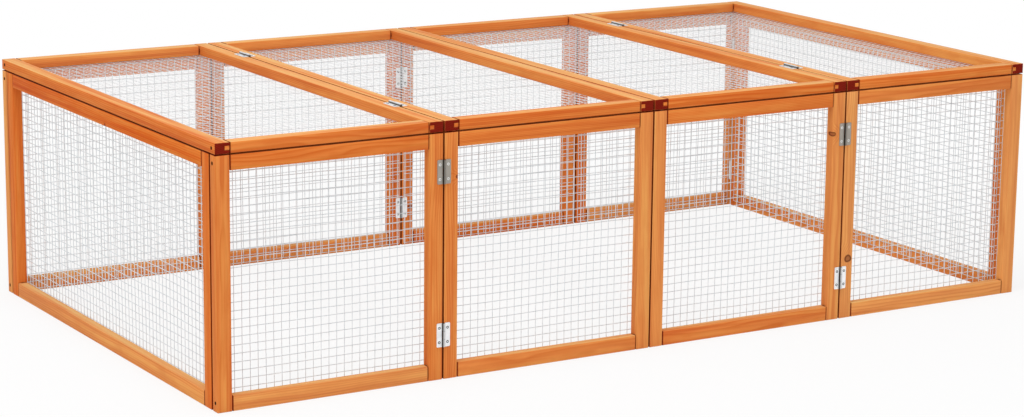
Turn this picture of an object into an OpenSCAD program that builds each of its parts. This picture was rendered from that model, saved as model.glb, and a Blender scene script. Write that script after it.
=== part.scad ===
// Outdoor rabbit run: ten wire-netted wall panels that fold together like a
// bellows, and a roof of four netted lids in two hinged pairs.
// Millimetres. +X runs along the front, +Y towards the back, +Z up. The origin
// is the middle of the footprint, on the ground.

/* [Run] */
// Length of one side panel, which is also the width of one roof lid
panel_l = 450; // [360:5:460]
// Depth of the run from front face to back face
run_d = 1000; // [980:10:1300]
// Height of the wall panels
wall_h = 458; // [320:2:700]
// Gap at a seam between two side panels or two lids
seam_gap = 3; // [2:0.5:6]

/* [Boards] */
// Face width of every board
board_w = 28; // [24:1:45]
// Thickness of the wall boards
board_t = 20; // [16:1:28]
// Thickness of the lid boards
lid_t = 20; // [16:1:28]
// Thickness of the tenon on each end of a rail
tenon_t = 7; // [4:0.5:9]
// Length of the tenon on each end of a rail
tenon_l = 9; // [4:1:14]
// Clearance between a tenon and its slot
tenon_fit = 0.15; // [0.05:0.05:0.5]

/* [Wire net] */
// Thickness of the welded net, two crossed wires
net_t = 1.6; // [1:0.1:2.2]
// Width of one modelled wire
wire_w = 1.6; // [1:0.2:4]
// Largest spacing of the modelled wires
net_pitch = 155; // [100:5:200]
// Distance from the edge of a frame to the edge of its net
net_in = 4; // [2:0.5:8]
// Clearance between a net and the hinge leaves and knuckles beside it
net_clear = 1.5; // [0.5:0.5:4]
// Gap between the nets of the lids and the tops of the walls
rest_gap = 0.4; // [0.3:0.1:1]

/* [Hinges] */
// Height of a hinge along its pin
hinge_h = 45; // [30:1:60]
// Width of a hinge opened flat
hinge_open_w = 28; // [20:1:36]
// Thickness of a hinge leaf
leaf_t = 1.2; // [0.8:0.1:1.5]
// Outer diameter of the knuckles
knuckle_d = 5; // [4.4:0.2:6]
// Gap between neighbouring knuckles
knuckle_gap = 0.4; // [0.2:0.1:1]
// Gap between a knuckle and the board that its leaf lies on
knuckle_stand = 0.3; // [0.2:0.1:0.6]
// Diameter of the hinge pin
pin_d = 2.6; // [2:0.1:3.2]
// Running clearance of the pin, on the radius
pin_fit = 0.05; // [0.02:0.01:0.1]
// Distance from the end of a wall panel to the middle of a hinge
wall_hinge_in = 84; // [60:1:120]
// Extra height of the upper hinge at the first seam of the front wall
first_hinge_up = 13; // [0:1:20]
// Distance from the end of a lid to the middle of a hinge
lid_hinge_in = 182; // [60:1:300]

/* [Hidden] */
SIDES = ["front", "back"];
ENDS = ["left_end", "right_end"];
KINDS = ["stiles", "rails", "net", "hinges"];
// Side panels in a long wall, and lids in the roof
PANEL_COUNT = 4;
SIDE_PANELS = [for (s = SIDES) for (i = [1 : PANEL_COUNT]) str(s, "_", i)];
LIDS = [for (i = [1 : PANEL_COUNT]) str("lid_", i)];
PANELS = concat(SIDE_PANELS, ENDS, LIDS);

WOOD = [0.86, 0.49, 0.23];
RAIL_WOOD = [0.83, 0.45, 0.20];
WIRE = [0.74, 0.74, 0.73];
ZINC = [0.62, 0.60, 0.55];

// Sides of the circles in a hinge
knuckle_facets = 13;
// Knuckles in a hinge, shared between its two leaves
knuckle_count = 3;
// How far a cut runs past the face that it opens
cut_over = 1;

run_l = PANEL_COUNT * panel_l + (PANEL_COUNT - 1) * seam_gap;
run_h = wall_h + rest_gap + net_t + lid_t;

leaf_w = hinge_open_w / 2;
knuckle_h = (hinge_h - (knuckle_count - 1) * knuckle_gap) / knuckle_count;
// Distance from the pin to the board that the leaf lies on
pin_stand = knuckle_d / 2 + knuckle_stand;
// Where the flat of a leaf starts, clear of the other leaf's knuckles
leaf_start = knuckle_d / 2 + knuckle_gap;

// A closed hinge fits between an end panel and the side panel that it meets
corner_gap = 2 * pin_stand;
end_l = run_d - 2 * board_t - 2 * corner_gap;

// Edge of a side panel's net at a corner, clear of the knuckles in front of it
net_in_corner = board_t + pin_stand + knuckle_d / 2 + net_clear;
// Half the width that a net is cut back at an inner hinge
leaf_room = leaf_w + net_clear;

wall_hinge_z = [wall_hinge_in, wall_h - wall_hinge_in];
lid_hinge_y = [lid_hinge_in - run_d / 2, run_d / 2 - lid_hinge_in];

// Left edge of side panel or lid i
function panel_x(i) = -run_l / 2 + (i - 1) * (panel_l + seam_gap);
// Middle of the seam to the right of side panel or lid k
function seam_x(k) = panel_x(k) + panel_l + seam_gap / 2;
// The ends of a long wall are corners, and its other seams are hinged on the
// outside and the inside in turn, so that the wall folds to and fro
function is_corner(k) = k == 0 || k == PANEL_COUNT;
function is_outer(k) = !is_corner(k) && k % 2 == 1;
// Pin of seam k of the front wall
corner_pin_x = run_l / 2 - board_t - pin_stand;
function pin_x(k) = is_corner(k) ? (k == 0 ? -corner_pin_x : corner_pin_x) : seam_x(k);
function pin_y(k) = is_outer(k) ? -run_d / 2 - pin_stand : -run_d / 2 + board_t + pin_stand;
// Heights of the hinges at seam k of a long wall
function seam_hinge_z(side, k) =
    side == "front" && k == 1 ? wall_hinge_z + [0, first_hinge_up] : wall_hinge_z;
// The roof seam that lid i is hinged at: lids 1 and 2 at seam 1, 3 and 4 at seam 3
function lid_seam(i) = i < 3 ? 1 : 3;

// Mirrors its children across the plane through the origin, when asked to
module flipped(axis, on) {
    if (on) mirror(axis) children();
    else children();
}

// ---- One netted frame, standing in the XZ plane with its outer face at y = 0 ----

// A board along z with an open slot for a tenon in the +x edge at each end
module stile(h, t) {
    slot_d = tenon_l + tenon_fit;
    slot_t = tenon_t + 2 * tenon_fit;
    slot_h = board_w + tenon_fit;
    difference() {
        cube([board_w, t, h]);
        for (z = [-cut_over, h - slot_h])
            translate([board_w - slot_d, (t - slot_t) / 2, z])
                cube([slot_d + cut_over, slot_t, slot_h + cut_over]);
    }
}

// A board along x between the stiles, with a tenon on each end
module rail(l, t) {
    translate([board_w, 0, 0]) cube([l - 2 * board_w, t, board_w]);
    translate([board_w - tenon_l, (t - tenon_t) / 2, 0])
        cube([l - 2 * (board_w - tenon_l), tenon_t, board_w]);
}

module stile_pair(l, h, t) {
    stile(h, t);
    translate([l, 0, 0]) mirror([1, 0, 0]) stile(h, t);
}

module rail_pair(l, h, t) {
    for (z = [0, h - board_w]) translate([0, 0, z]) rail(l, t);
}

// A flat grid of wires from x = left to l - right, fixed to the inner face, and
// cut back round the hinges that lie on that face with their pins at x = inner_pins
module net(l, h, t, left = net_in, right = net_in, inner_pins = []) {
    net_w = l - left - right;
    net_h = h - 2 * net_in;
    columns = ceil(net_w / net_pitch);
    rows = ceil(net_h / net_pitch);
    cell_w = (net_w - (columns + 1) * wire_w) / columns;
    cell_h = (net_h - (rows + 1) * wire_w) / rows;
    translate([0, t + net_t, 0]) rotate([90, 0, 0]) linear_extrude(net_t)
        difference() {
            translate([left, net_in]) square([net_w, net_h]);
            for (c = [0 : columns - 1]) for (r = [0 : rows - 1])
                translate([left + wire_w + c * (cell_w + wire_w),
                           net_in + wire_w + r * (cell_h + wire_w)])
                    square([cell_w, cell_h]);
            for (x = inner_pins) for (z = wall_hinge_z)
                translate([x, z])
                    square([2 * leaf_room, hinge_h + 2 * net_clear], center = true);
        }
}

// ---- Hinges: the pin runs along z through the origin ----

// One leaf reaching along +x with its back on y = -pin_stand
module leaf(knuckles) {
    difference() {
        union() {
            translate([leaf_start, -pin_stand, -hinge_h / 2])
                cube([leaf_w - leaf_start, leaf_t, hinge_h]);
            for (k = knuckles)
                translate([0, 0, -hinge_h / 2 + k * (knuckle_h + knuckle_gap)]) {
                    cylinder(d = knuckle_d, h = knuckle_h, $fn = knuckle_facets);
                    translate([0, -pin_stand, 0])
                        cube([leaf_start + leaf_t, leaf_t, knuckle_h]);
                }
        }
        cylinder(d = pin_d + 2 * pin_fit, h = hinge_h + cut_over, center = true,
                 $fn = knuckle_facets);
    }
}

// Half a hinge that reaches along x in the direction of reach, on a board that
// lies on the face side of the pin. One half has the outer knuckles and the pin.
module half_hinge(reach, face, with_pin) {
    first = with_pin ? 0 : 1;
    flipped([1, 0, 0], reach < 0) flipped([0, 1, 0], face > 0)
        leaf([first : 2 : knuckle_count - 1]);
    if (with_pin) cylinder(d = pin_d, h = hinge_h, center = true, $fn = knuckle_facets);
}

// ---- Side panels ----

module place_side(side, i) {
    flipped([0, 1, 0], side == "back")
        translate([panel_x(i), -run_d / 2, 0]) children();
}

module side_stiles(side, i) {
    color(WOOD) place_side(side, i) stile_pair(panel_l, wall_h, board_t);
}

module side_rails(side, i) {
    color(RAIL_WOOD) place_side(side, i) rail_pair(panel_l, wall_h, board_t);
}

module side_net(side, i) {
    left = is_corner(i - 1) ? net_in_corner : net_in;
    right = is_corner(i) ? net_in_corner : net_in;
    inner_pins = [for (k = [i - 1, i]) if (!is_corner(k) && !is_outer(k)) seam_x(k) - panel_x(i)];
    color(WIRE) place_side(side, i)
        net(panel_l, wall_h, board_t, left, right, inner_pins);
}

// A side panel holds half of each hinge at the seams on its left and right
module side_hinges(side, i) {
    color(ZINC) flipped([0, 1, 0], side == "back")
        for (k = [i - 1, i]) for (z = seam_hinge_z(side, k)) {
            away = is_corner(k) ? (k == 0 ? -1 : 1) : (k == i ? -1 : 1);
            translate([pin_x(k), pin_y(k), z])
                half_hinge(away, is_outer(k) ? 1 : -1, k == i && !is_corner(k));
        }
}

// ---- End panels, between the long walls ----

module place_end(end) {
    flipped([1, 0, 0], end == "right_end")
        translate([-run_l / 2, end_l / 2, 0]) rotate([0, 0, -90]) children();
}

module end_stiles(end) {
    color(WOOD) place_end(end) stile_pair(end_l, wall_h, board_t);
}

module end_rails(end) {
    color(RAIL_WOOD) place_end(end) rail_pair(end_l, wall_h, board_t);
}

module end_net(end) {
    color(WIRE) place_end(end) net(end_l, wall_h, board_t);
}

// The leaves lie in the corner gaps, on the edges of the stiles
module end_hinges(end) {
    color(ZINC) flipped([1, 0, 0], end == "right_end")
        for (back = [false, true]) for (z = wall_hinge_z)
            flipped([0, 1, 0], back) translate([pin_x(0), pin_y(0), z])
                half_hinge(-1, 1, true);
}

// ---- Roof lids, lying on the walls with their nets underneath ----

module place_lid(i) {
    translate([panel_x(i), -run_d / 2, run_h]) rotate([-90, 0, 0]) children();
}

module lid_stiles(i) {
    color(WOOD) place_lid(i) stile_pair(panel_l, run_d, lid_t);
}

module lid_rails(i) {
    color(RAIL_WOOD) place_lid(i) rail_pair(panel_l, run_d, lid_t);
}

module lid_net(i) {
    color(WIRE) place_lid(i) net(panel_l, run_d, lid_t);
}

module lid_hinges(i) {
    seam = lid_seam(i);
    color(ZINC) for (y = lid_hinge_y)
        translate([seam_x(seam), y, run_h + pin_stand]) rotate([90, 0, 0])
            half_hinge(i == seam ? -1 : 1, -1, i == seam);
}

for (s = SIDES) for (i = [1 : PANEL_COUNT]) {
    side_stiles(s, i);
    side_rails(s, i);
    side_net(s, i);
    side_hinges(s, i);
}
for (e = ENDS) {
    end_stiles(e);
    end_rails(e);
    end_net(e);
    end_hinges(e);
}
for (i = [1 : PANEL_COUNT]) {
    lid_stiles(i);
    lid_rails(i);
    lid_net(i);
    lid_hinges(i);
}
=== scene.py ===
"""Looks of the outdoor rabbit run: stained fir frames, welded net, butt hinges, brads and staples.

Each of the fourteen frames is worked out in its own coordinates, in metres: u runs along the
frame from stile to stile, v from its outer face to its netted face, and w up its stiles. A
Placement carries them into the run, where +X runs along the front, +Y to the back and +Z up.
"""
import logging
import math
from dataclasses import dataclass, field
from enum import Enum

import bpy
import numpy as np
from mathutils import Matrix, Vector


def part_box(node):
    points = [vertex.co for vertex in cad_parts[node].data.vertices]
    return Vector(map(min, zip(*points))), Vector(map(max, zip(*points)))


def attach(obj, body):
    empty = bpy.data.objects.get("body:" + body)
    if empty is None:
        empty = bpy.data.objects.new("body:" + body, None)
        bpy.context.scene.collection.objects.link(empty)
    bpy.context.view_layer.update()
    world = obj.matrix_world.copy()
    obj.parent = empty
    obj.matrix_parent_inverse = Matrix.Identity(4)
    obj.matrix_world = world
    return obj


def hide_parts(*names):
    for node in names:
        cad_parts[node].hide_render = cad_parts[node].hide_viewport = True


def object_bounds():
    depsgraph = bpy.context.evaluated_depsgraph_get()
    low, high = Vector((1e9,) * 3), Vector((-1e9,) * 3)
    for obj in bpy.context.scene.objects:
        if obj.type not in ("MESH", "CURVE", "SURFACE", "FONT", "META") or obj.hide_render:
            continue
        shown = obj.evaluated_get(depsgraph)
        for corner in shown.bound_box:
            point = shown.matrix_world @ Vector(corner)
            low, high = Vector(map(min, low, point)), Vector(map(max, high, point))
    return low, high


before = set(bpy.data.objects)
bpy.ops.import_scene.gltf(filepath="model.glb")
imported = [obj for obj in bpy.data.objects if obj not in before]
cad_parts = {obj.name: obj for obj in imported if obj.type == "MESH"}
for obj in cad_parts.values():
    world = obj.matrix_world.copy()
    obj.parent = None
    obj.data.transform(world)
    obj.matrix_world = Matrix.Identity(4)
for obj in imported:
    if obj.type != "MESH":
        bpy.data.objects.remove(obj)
CAD_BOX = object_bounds()

LOG = logging.getLogger("rabbit_run")
MM = 0.001

# Marks that are directions, and so turn with the shell that bears them.
DIRECTIONS = ("axis", "edge")
# A rectangle in a frame's plane: least u, greatest u, least w and greatest w.
Patch = tuple[float, float, float, float]
# A direction or a place in the run.
Vector3 = tuple[float, float, float]
# A material's or the world's node tree, and an output of one of its nodes.
Tree = bpy.types.NodeTree
Socket = bpy.types.NodeSocket
# Where a pattern starts to colour the wood, where it does so fully, and the share that it then takes.
Layer = tuple[float, float, float]
# Rows for Shell.turned that stand a flat shape up: its y goes up and its z out along +y.
STANDING = np.array([[1.0, 0, 0], [0, 0, 1.0], [0, 1.0, 0]])
# Where the random numbers start: of the first frame, and of the screws' crosses.
FRAME_SEED = 9000
SCREW_SEED = 77
# How far off a knot or a gap lies that a board doesn't have, and the shoulders of one without them.
FAR_OFF = 1.0
NO_SHOULDERS = (-10.0, 10.0)
# The values that most of a noise lies between.
NOISE_SPAN = (0.3, 0.7)
WHITE = (1.0, 1.0, 1.0, 1.0)


# ---------------------------------------------------------------- shells and pieces


@dataclass
class Shell:
    """A closed surface, or several, before it becomes a mesh.

    Args:
        points: the corners, one row each.
        faces: blocks of faces, each an array with one face a row, turning anticlockwise
            when seen from outside.
        marks: named vectors of each point, such as where it lies in its board's grain.
    """

    points: np.ndarray
    faces: list[np.ndarray]
    marks: dict[str, np.ndarray] = field(default_factory=dict)

    def marked(self, **marks: np.ndarray) -> "Shell":
        """The same shell with named vectors, each spread over all its points."""
        spread = {name: np.broadcast_to(value, self.points.shape) for name, value in marks.items()}
        return Shell(self.points, self.faces, {**self.marks, **spread})

    def moved(self, offset: np.ndarray) -> "Shell":
        """The same shell moved by an offset."""
        return Shell(self.points + offset, self.faces, self.marks)

    def turned(self, rows: np.ndarray) -> "Shell":
        """The same shell with x, y and z laid along three row vectors; a mirror keeps faces outward.

        Args:
            rows: the directions that the shell's own axes take, one row each.

        Returns:
            The shell in its new directions.
        """
        mirrored = np.linalg.det(rows) < 0
        faces = [block[:, ::-1] for block in self.faces] if mirrored else self.faces
        marks = {name: value @ rows if name in DIRECTIONS else value for name, value in self.marks.items()}
        return Shell(self.points @ rows, faces, marks)


def joined(shells: list[Shell]) -> Shell:
    """Several shells as one, with each block's corner numbers raised past the shells before it.

    Args:
        shells: the shells, all with the same marks.

    Returns:
        The one shell.
    """
    starts = np.cumsum([0] + [len(shell.points) for shell in shells[:-1]])
    faces = [block + start for shell, start in zip(shells, starts) for block in shell.faces]
    names = shells[0].marks.keys()
    marks = {name: np.concatenate([shell.marks[name] for shell in shells]) for name in names}
    return Shell(np.concatenate([shell.points for shell in shells]), faces, marks)


def extruded(outline: np.ndarray, low: float, high: float) -> Shell:
    """A prism: the outline, anticlockwise in x and y, carried straight from z = low to z = high.

    Args:
        outline: the corners of the outline, one row of x and y each.
        low: where the prism starts.
        high: where it ends.

    Returns:
        The closed prism.
    """
    count = len(outline)
    ends = [np.column_stack([outline, np.full(count, z)]) for z in (low, high)]
    here = np.arange(count)
    following = (here + 1) % count
    sides = np.column_stack([here, following, following + count, here + count])
    return Shell(np.concatenate(ends), [sides, here[None, ::-1], here[None, :] + count])


def ring_angles(sides: int) -> np.ndarray:
    """The angles of a ring's points, from zero once round."""
    return 2 * math.pi * np.arange(sides) / sides


def between_rings(index: np.ndarray) -> np.ndarray:
    """The quads from each ring of points to the next, from the points' numbers as rings x sides."""
    beside = np.roll(index, -1, axis=1)
    return np.stack([index[:-1], index[1:], beside[1:], beside[:-1]], axis=-1).reshape(-1, 4)


def closed_rings(rings: np.ndarray, top: float, bottom: float) -> Shell:
    """Rings of points about z, joined in a wall and closed at each end by a fan of triangles.

    Args:
        rings: the points as rings x sides x 3, from the top ring down.
        top: the height of the pole that the top fan meets in.
        bottom: the height of the lower pole.

    Returns:
        The closed shell.
    """
    sides = rings.shape[1]
    index = np.arange(rings.size // 3).reshape(rings.shape[:2])
    beside = np.roll(index, -1, axis=1)
    crown = np.column_stack([np.full(sides, index.size), index[0], beside[0]])
    foot = np.column_stack([np.full(sides, index.size + 1), beside[-1], index[-1]])
    poles = np.array([[0.0, 0.0, top], [0.0, 0.0, bottom]])
    points = np.concatenate([rings.reshape(-1, 3), poles])
    return Shell(points, [between_rings(index), np.concatenate([crown, foot])])


def revolved(radii: np.ndarray, heights: np.ndarray, sides: int) -> Shell:
    """A solid of revolution about z: the profile of radii over heights turned through a full circle.

    Args:
        radii: the distances of the profile's points from the axis, the first and last zero.
        heights: their places along the axis, falling from the top pole to the bottom one.
        sides: the number of flats round the axis.

    Returns:
        The closed solid.
    """
    angle = ring_angles(sides)
    body = radii[1:-1, None, None] * np.stack([np.cos(angle), np.sin(angle)], axis=-1)
    levels = np.broadcast_to(heights[1:-1, None, None], (len(radii) - 2, sides, 1))
    return closed_rings(np.concatenate([body, levels], axis=-1), heights[0], heights[-1])


def tubes(centres: np.ndarray, across: np.ndarray, radius: float, sides: int, keep: np.ndarray) -> Shell:
    """Round wires along many paths at once, each ring square to the wires' common direction.

    A ring's point is the path's point plus radius times cosine and sine of its angle along the
    two directions in across. A stretch that keep leaves out is open, and its ends are capped.

    Args:
        centres: the paths' points, as wires x stations x 3.
        across: the two unit directions, square to the wires, that each ring is laid out on.
        radius: the wires' radius.
        sides: the number of flats on a wire.
        keep: for each wire, whether each stretch between two stations is there.

    Returns:
        The closed wires.
    """
    angle = ring_angles(sides)
    circle = radius * (np.cos(angle)[:, None] * across[0] + np.sin(angle)[:, None] * across[1])
    points = centres[:, :, None, :] + circle
    index = np.arange(points.size // 3).reshape(points.shape[:3])
    beside = np.roll(index, -1, axis=2)
    quads = np.stack([index[:, :-1], beside[:, :-1], beside[:, 1:], index[:, 1:]], axis=-1)[keep]
    before = np.pad(keep, ((0, 0), (1, 0)))
    after = np.pad(keep, ((0, 0), (0, 1)))
    caps = [index[after & ~before][:, ::-1], index[before & ~after]]
    faces = [quads.reshape(-1, 4), np.concatenate(caps)]
    used, place = np.unique(np.concatenate([block.ravel() for block in faces]), return_inverse=True)
    split = faces[0].size
    renumbered = [place[:split].reshape(-1, 4), place[split:].reshape(-1, sides)]
    return Shell(points.reshape(-1, 3)[used], renumbered)


def swept(path: np.ndarray, radius: float, sides: int) -> Shell:
    """One bent wire in the xz plane: rings square to the path, the frame turned with its slope.

    Args:
        path: the points along the wire, one row each, all at one y.
        radius: the wire's radius.
        sides: the number of flats on the wire.

    Returns:
        The closed wire.
    """
    slope = np.gradient(path, axis=0)
    slope /= np.linalg.norm(slope, axis=1, keepdims=True)
    level = np.array([0.0, 1.0, 0.0])
    normal = np.cross(slope, level)
    angle = ring_angles(sides)
    rings = np.cos(angle)[None, :, None] * normal[:, None, :] + np.sin(angle)[None, :, None] * level
    points = path[:, None, :] + radius * rings
    index = np.arange(len(path) * sides).reshape(len(path), sides)
    return Shell(points.reshape(-1, 3), [between_rings(index), index[:1], index[-1:, ::-1]])


def copied(shell: Shell, places: np.ndarray, turns: np.ndarray) -> Shell:
    """Many copies of a shell, each turned about z by its own angle and moved to its own place.

    Args:
        shell: what is repeated.
        places: where each copy goes, one row each.
        turns: the angle of each copy, in radians.

    Returns:
        All the copies as one shell.
    """
    cosine, sine = np.cos(turns), np.sin(turns)
    zero, one = np.zeros_like(turns), np.ones_like(turns)
    turn = np.stack([cosine, sine, zero, -sine, cosine, zero, zero, zero, one], axis=-1).reshape(-1, 3, 3)
    points = np.einsum("pi,nij->npj", shell.points, turn) + places[:, None, :]
    starts = np.arange(len(places))[:, None, None] * len(shell.points)
    faces = [(block[None] + starts).reshape(-1, block.shape[1]) for block in shell.faces]
    return Shell(points.reshape(-1, 3), faces)


class Edge(Enum):
    """How the edges of a piece are finished: (bevel width, bevel segments), or None for none."""

    PLANED = (0.9 * MM, 2)
    PRESSED = (0.25 * MM, 2)
    DRAWN = None


@dataclass(frozen=True)
class Finish:
    """What a piece is made of and how its surface is worked.

    Args:
        material: its material.
        slot: the name of its slot; not used.
        edge: how its edges are finished.
        smooth: whether its faces are shaded as one round surface.
        crease: the angle, in degrees, past which two smooth faces still meet in a line.
        arris: the angle, in degrees, past which two faces meet in an edge that is finished.
    """

    material: bpy.types.Material
    slot: str
    edge: Edge
    smooth: bool
    crease: float = 40.0
    arris: float = 50.0


def make_piece(name: str, shell: Shell, finish: Finish, body: str, *nodes: str) -> bpy.types.Object:
    """Turns a shell into a piece that rides on a body and may stand for CAD nodes.

    Args:
        name: the piece's name.
        shell: its surface, in the run's own frame.
        finish: its material and edges.
        body: the CAD body that it rides on.
        nodes: the CAD nodes that it replaces.

    Returns:
        The finished object.
    """
    mesh = bpy.data.meshes.new(name)
    corners = np.concatenate([block.ravel() for block in shell.faces]).astype(np.int32)
    counts = np.concatenate([np.full(len(block), block.shape[1]) for block in shell.faces])
    starts = np.concatenate([[0], np.cumsum(counts)[:-1]]).astype(np.int32)
    mesh.vertices.add(len(shell.points))
    mesh.vertices.foreach_set("co", shell.points.astype(np.float32).ravel())
    mesh.loops.add(len(corners))
    mesh.loops.foreach_set("vertex_index", corners)
    mesh.polygons.add(len(counts))
    mesh.polygons.foreach_set("loop_start", starts)
    for mark, value in shell.marks.items():
        layer = mesh.attributes.new(mark, "FLOAT_VECTOR", "POINT")
        layer.data.foreach_set("vector", np.ascontiguousarray(value, np.float32).ravel())
    mesh.update(calc_edges=True)
    mesh.materials.append(finish.material)
    if finish.smooth:
        mesh.shade_smooth()
        mesh.set_sharp_from_angle(angle=math.radians(finish.crease))
    piece = bpy.data.objects.new(name, mesh)
    bpy.context.scene.collection.objects.link(piece)
    if finish.edge.value:
        bevel = piece.modifiers.new("arris", "BEVEL")
        bevel.width, bevel.segments = finish.edge.value
        bevel.limit_method = "ANGLE"
        bevel.angle_limit = math.radians(finish.arris)
    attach(piece, body)
    if nodes:
        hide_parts(*nodes)
    LOG.info("%s: %d faces on %s", name, len(counts), body)
    return piece


# ---------------------------------------------------------------- finishes


def linear(hex_colour: str) -> tuple[float, float, float, float]:
    """The linear colour of an sRGB hex value such as #E8934F, by the sRGB curve, with full alpha.

    Args:
        hex_colour: the sRGB colour.

    Returns:
        Red, green, blue and alpha, from 0 to 1.
    """
    levels = [int(hex_colour[i : i + 2], 16) / 255 for i in (1, 3, 5)]
    curve = [x / 12.92 if x <= 0.04045 else ((x + 0.055) / 1.055) ** 2.4 for x in levels]
    return (*curve, 1.0)


def add_node(
    tree: Tree,
    kind: str,
    feeds: dict[str | int, Socket] | None = None,
    values: dict[str | int, object] | None = None,
    **settings: object,
) -> bpy.types.Node:
    """Adds one shader node with its settings, plain values and links.

    Args:
        tree: the material's or world's tree.
        kind: the node's type without the ShaderNode prefix.
        feeds: for an input's name or number, the output that feeds it.
        values: for an input's name or number, its plain value.
        settings: the node's own properties.

    Returns:
        The new node.
    """
    node = tree.nodes.new("ShaderNode" + kind)
    for name, value in settings.items():
        setattr(node, name, value)
    for key, value in (values or {}).items():
        node.inputs[key].default_value = value
    for key, output in (feeds or {}).items():
        tree.links.new(output, node.inputs[key])
    return node


def new_material(name: str) -> tuple[bpy.types.Material, Tree, bpy.types.Node]:
    """An empty material with its tree and its Principled shader, already joined to the output.

    Args:
        name: the material's name.

    Returns:
        The material, its tree and its shader.
    """
    material = bpy.data.materials.new(name)
    material.use_nodes = True
    tree = material.node_tree
    tree.nodes.clear()
    shader = add_node(tree, "BsdfPrincipled")
    add_node(tree, "OutputMaterial", {"Surface": shader.outputs["BSDF"]})
    return material, tree, shader


def set_ramp(node: bpy.types.Node, stops: list[tuple[float, tuple[float, ...]]]) -> None:
    """Gives a colour ramp its stops.

    Args:
        node: the ramp's node.
        stops: each stop's place from 0 to 1 and its linear colour.
    """
    elements = node.color_ramp.elements
    for _ in range(len(stops) - 2):
        elements.new(0.5)
    for element, (place, colour) in zip(elements, stops):
        element.position = place
        element.color = colour


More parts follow.
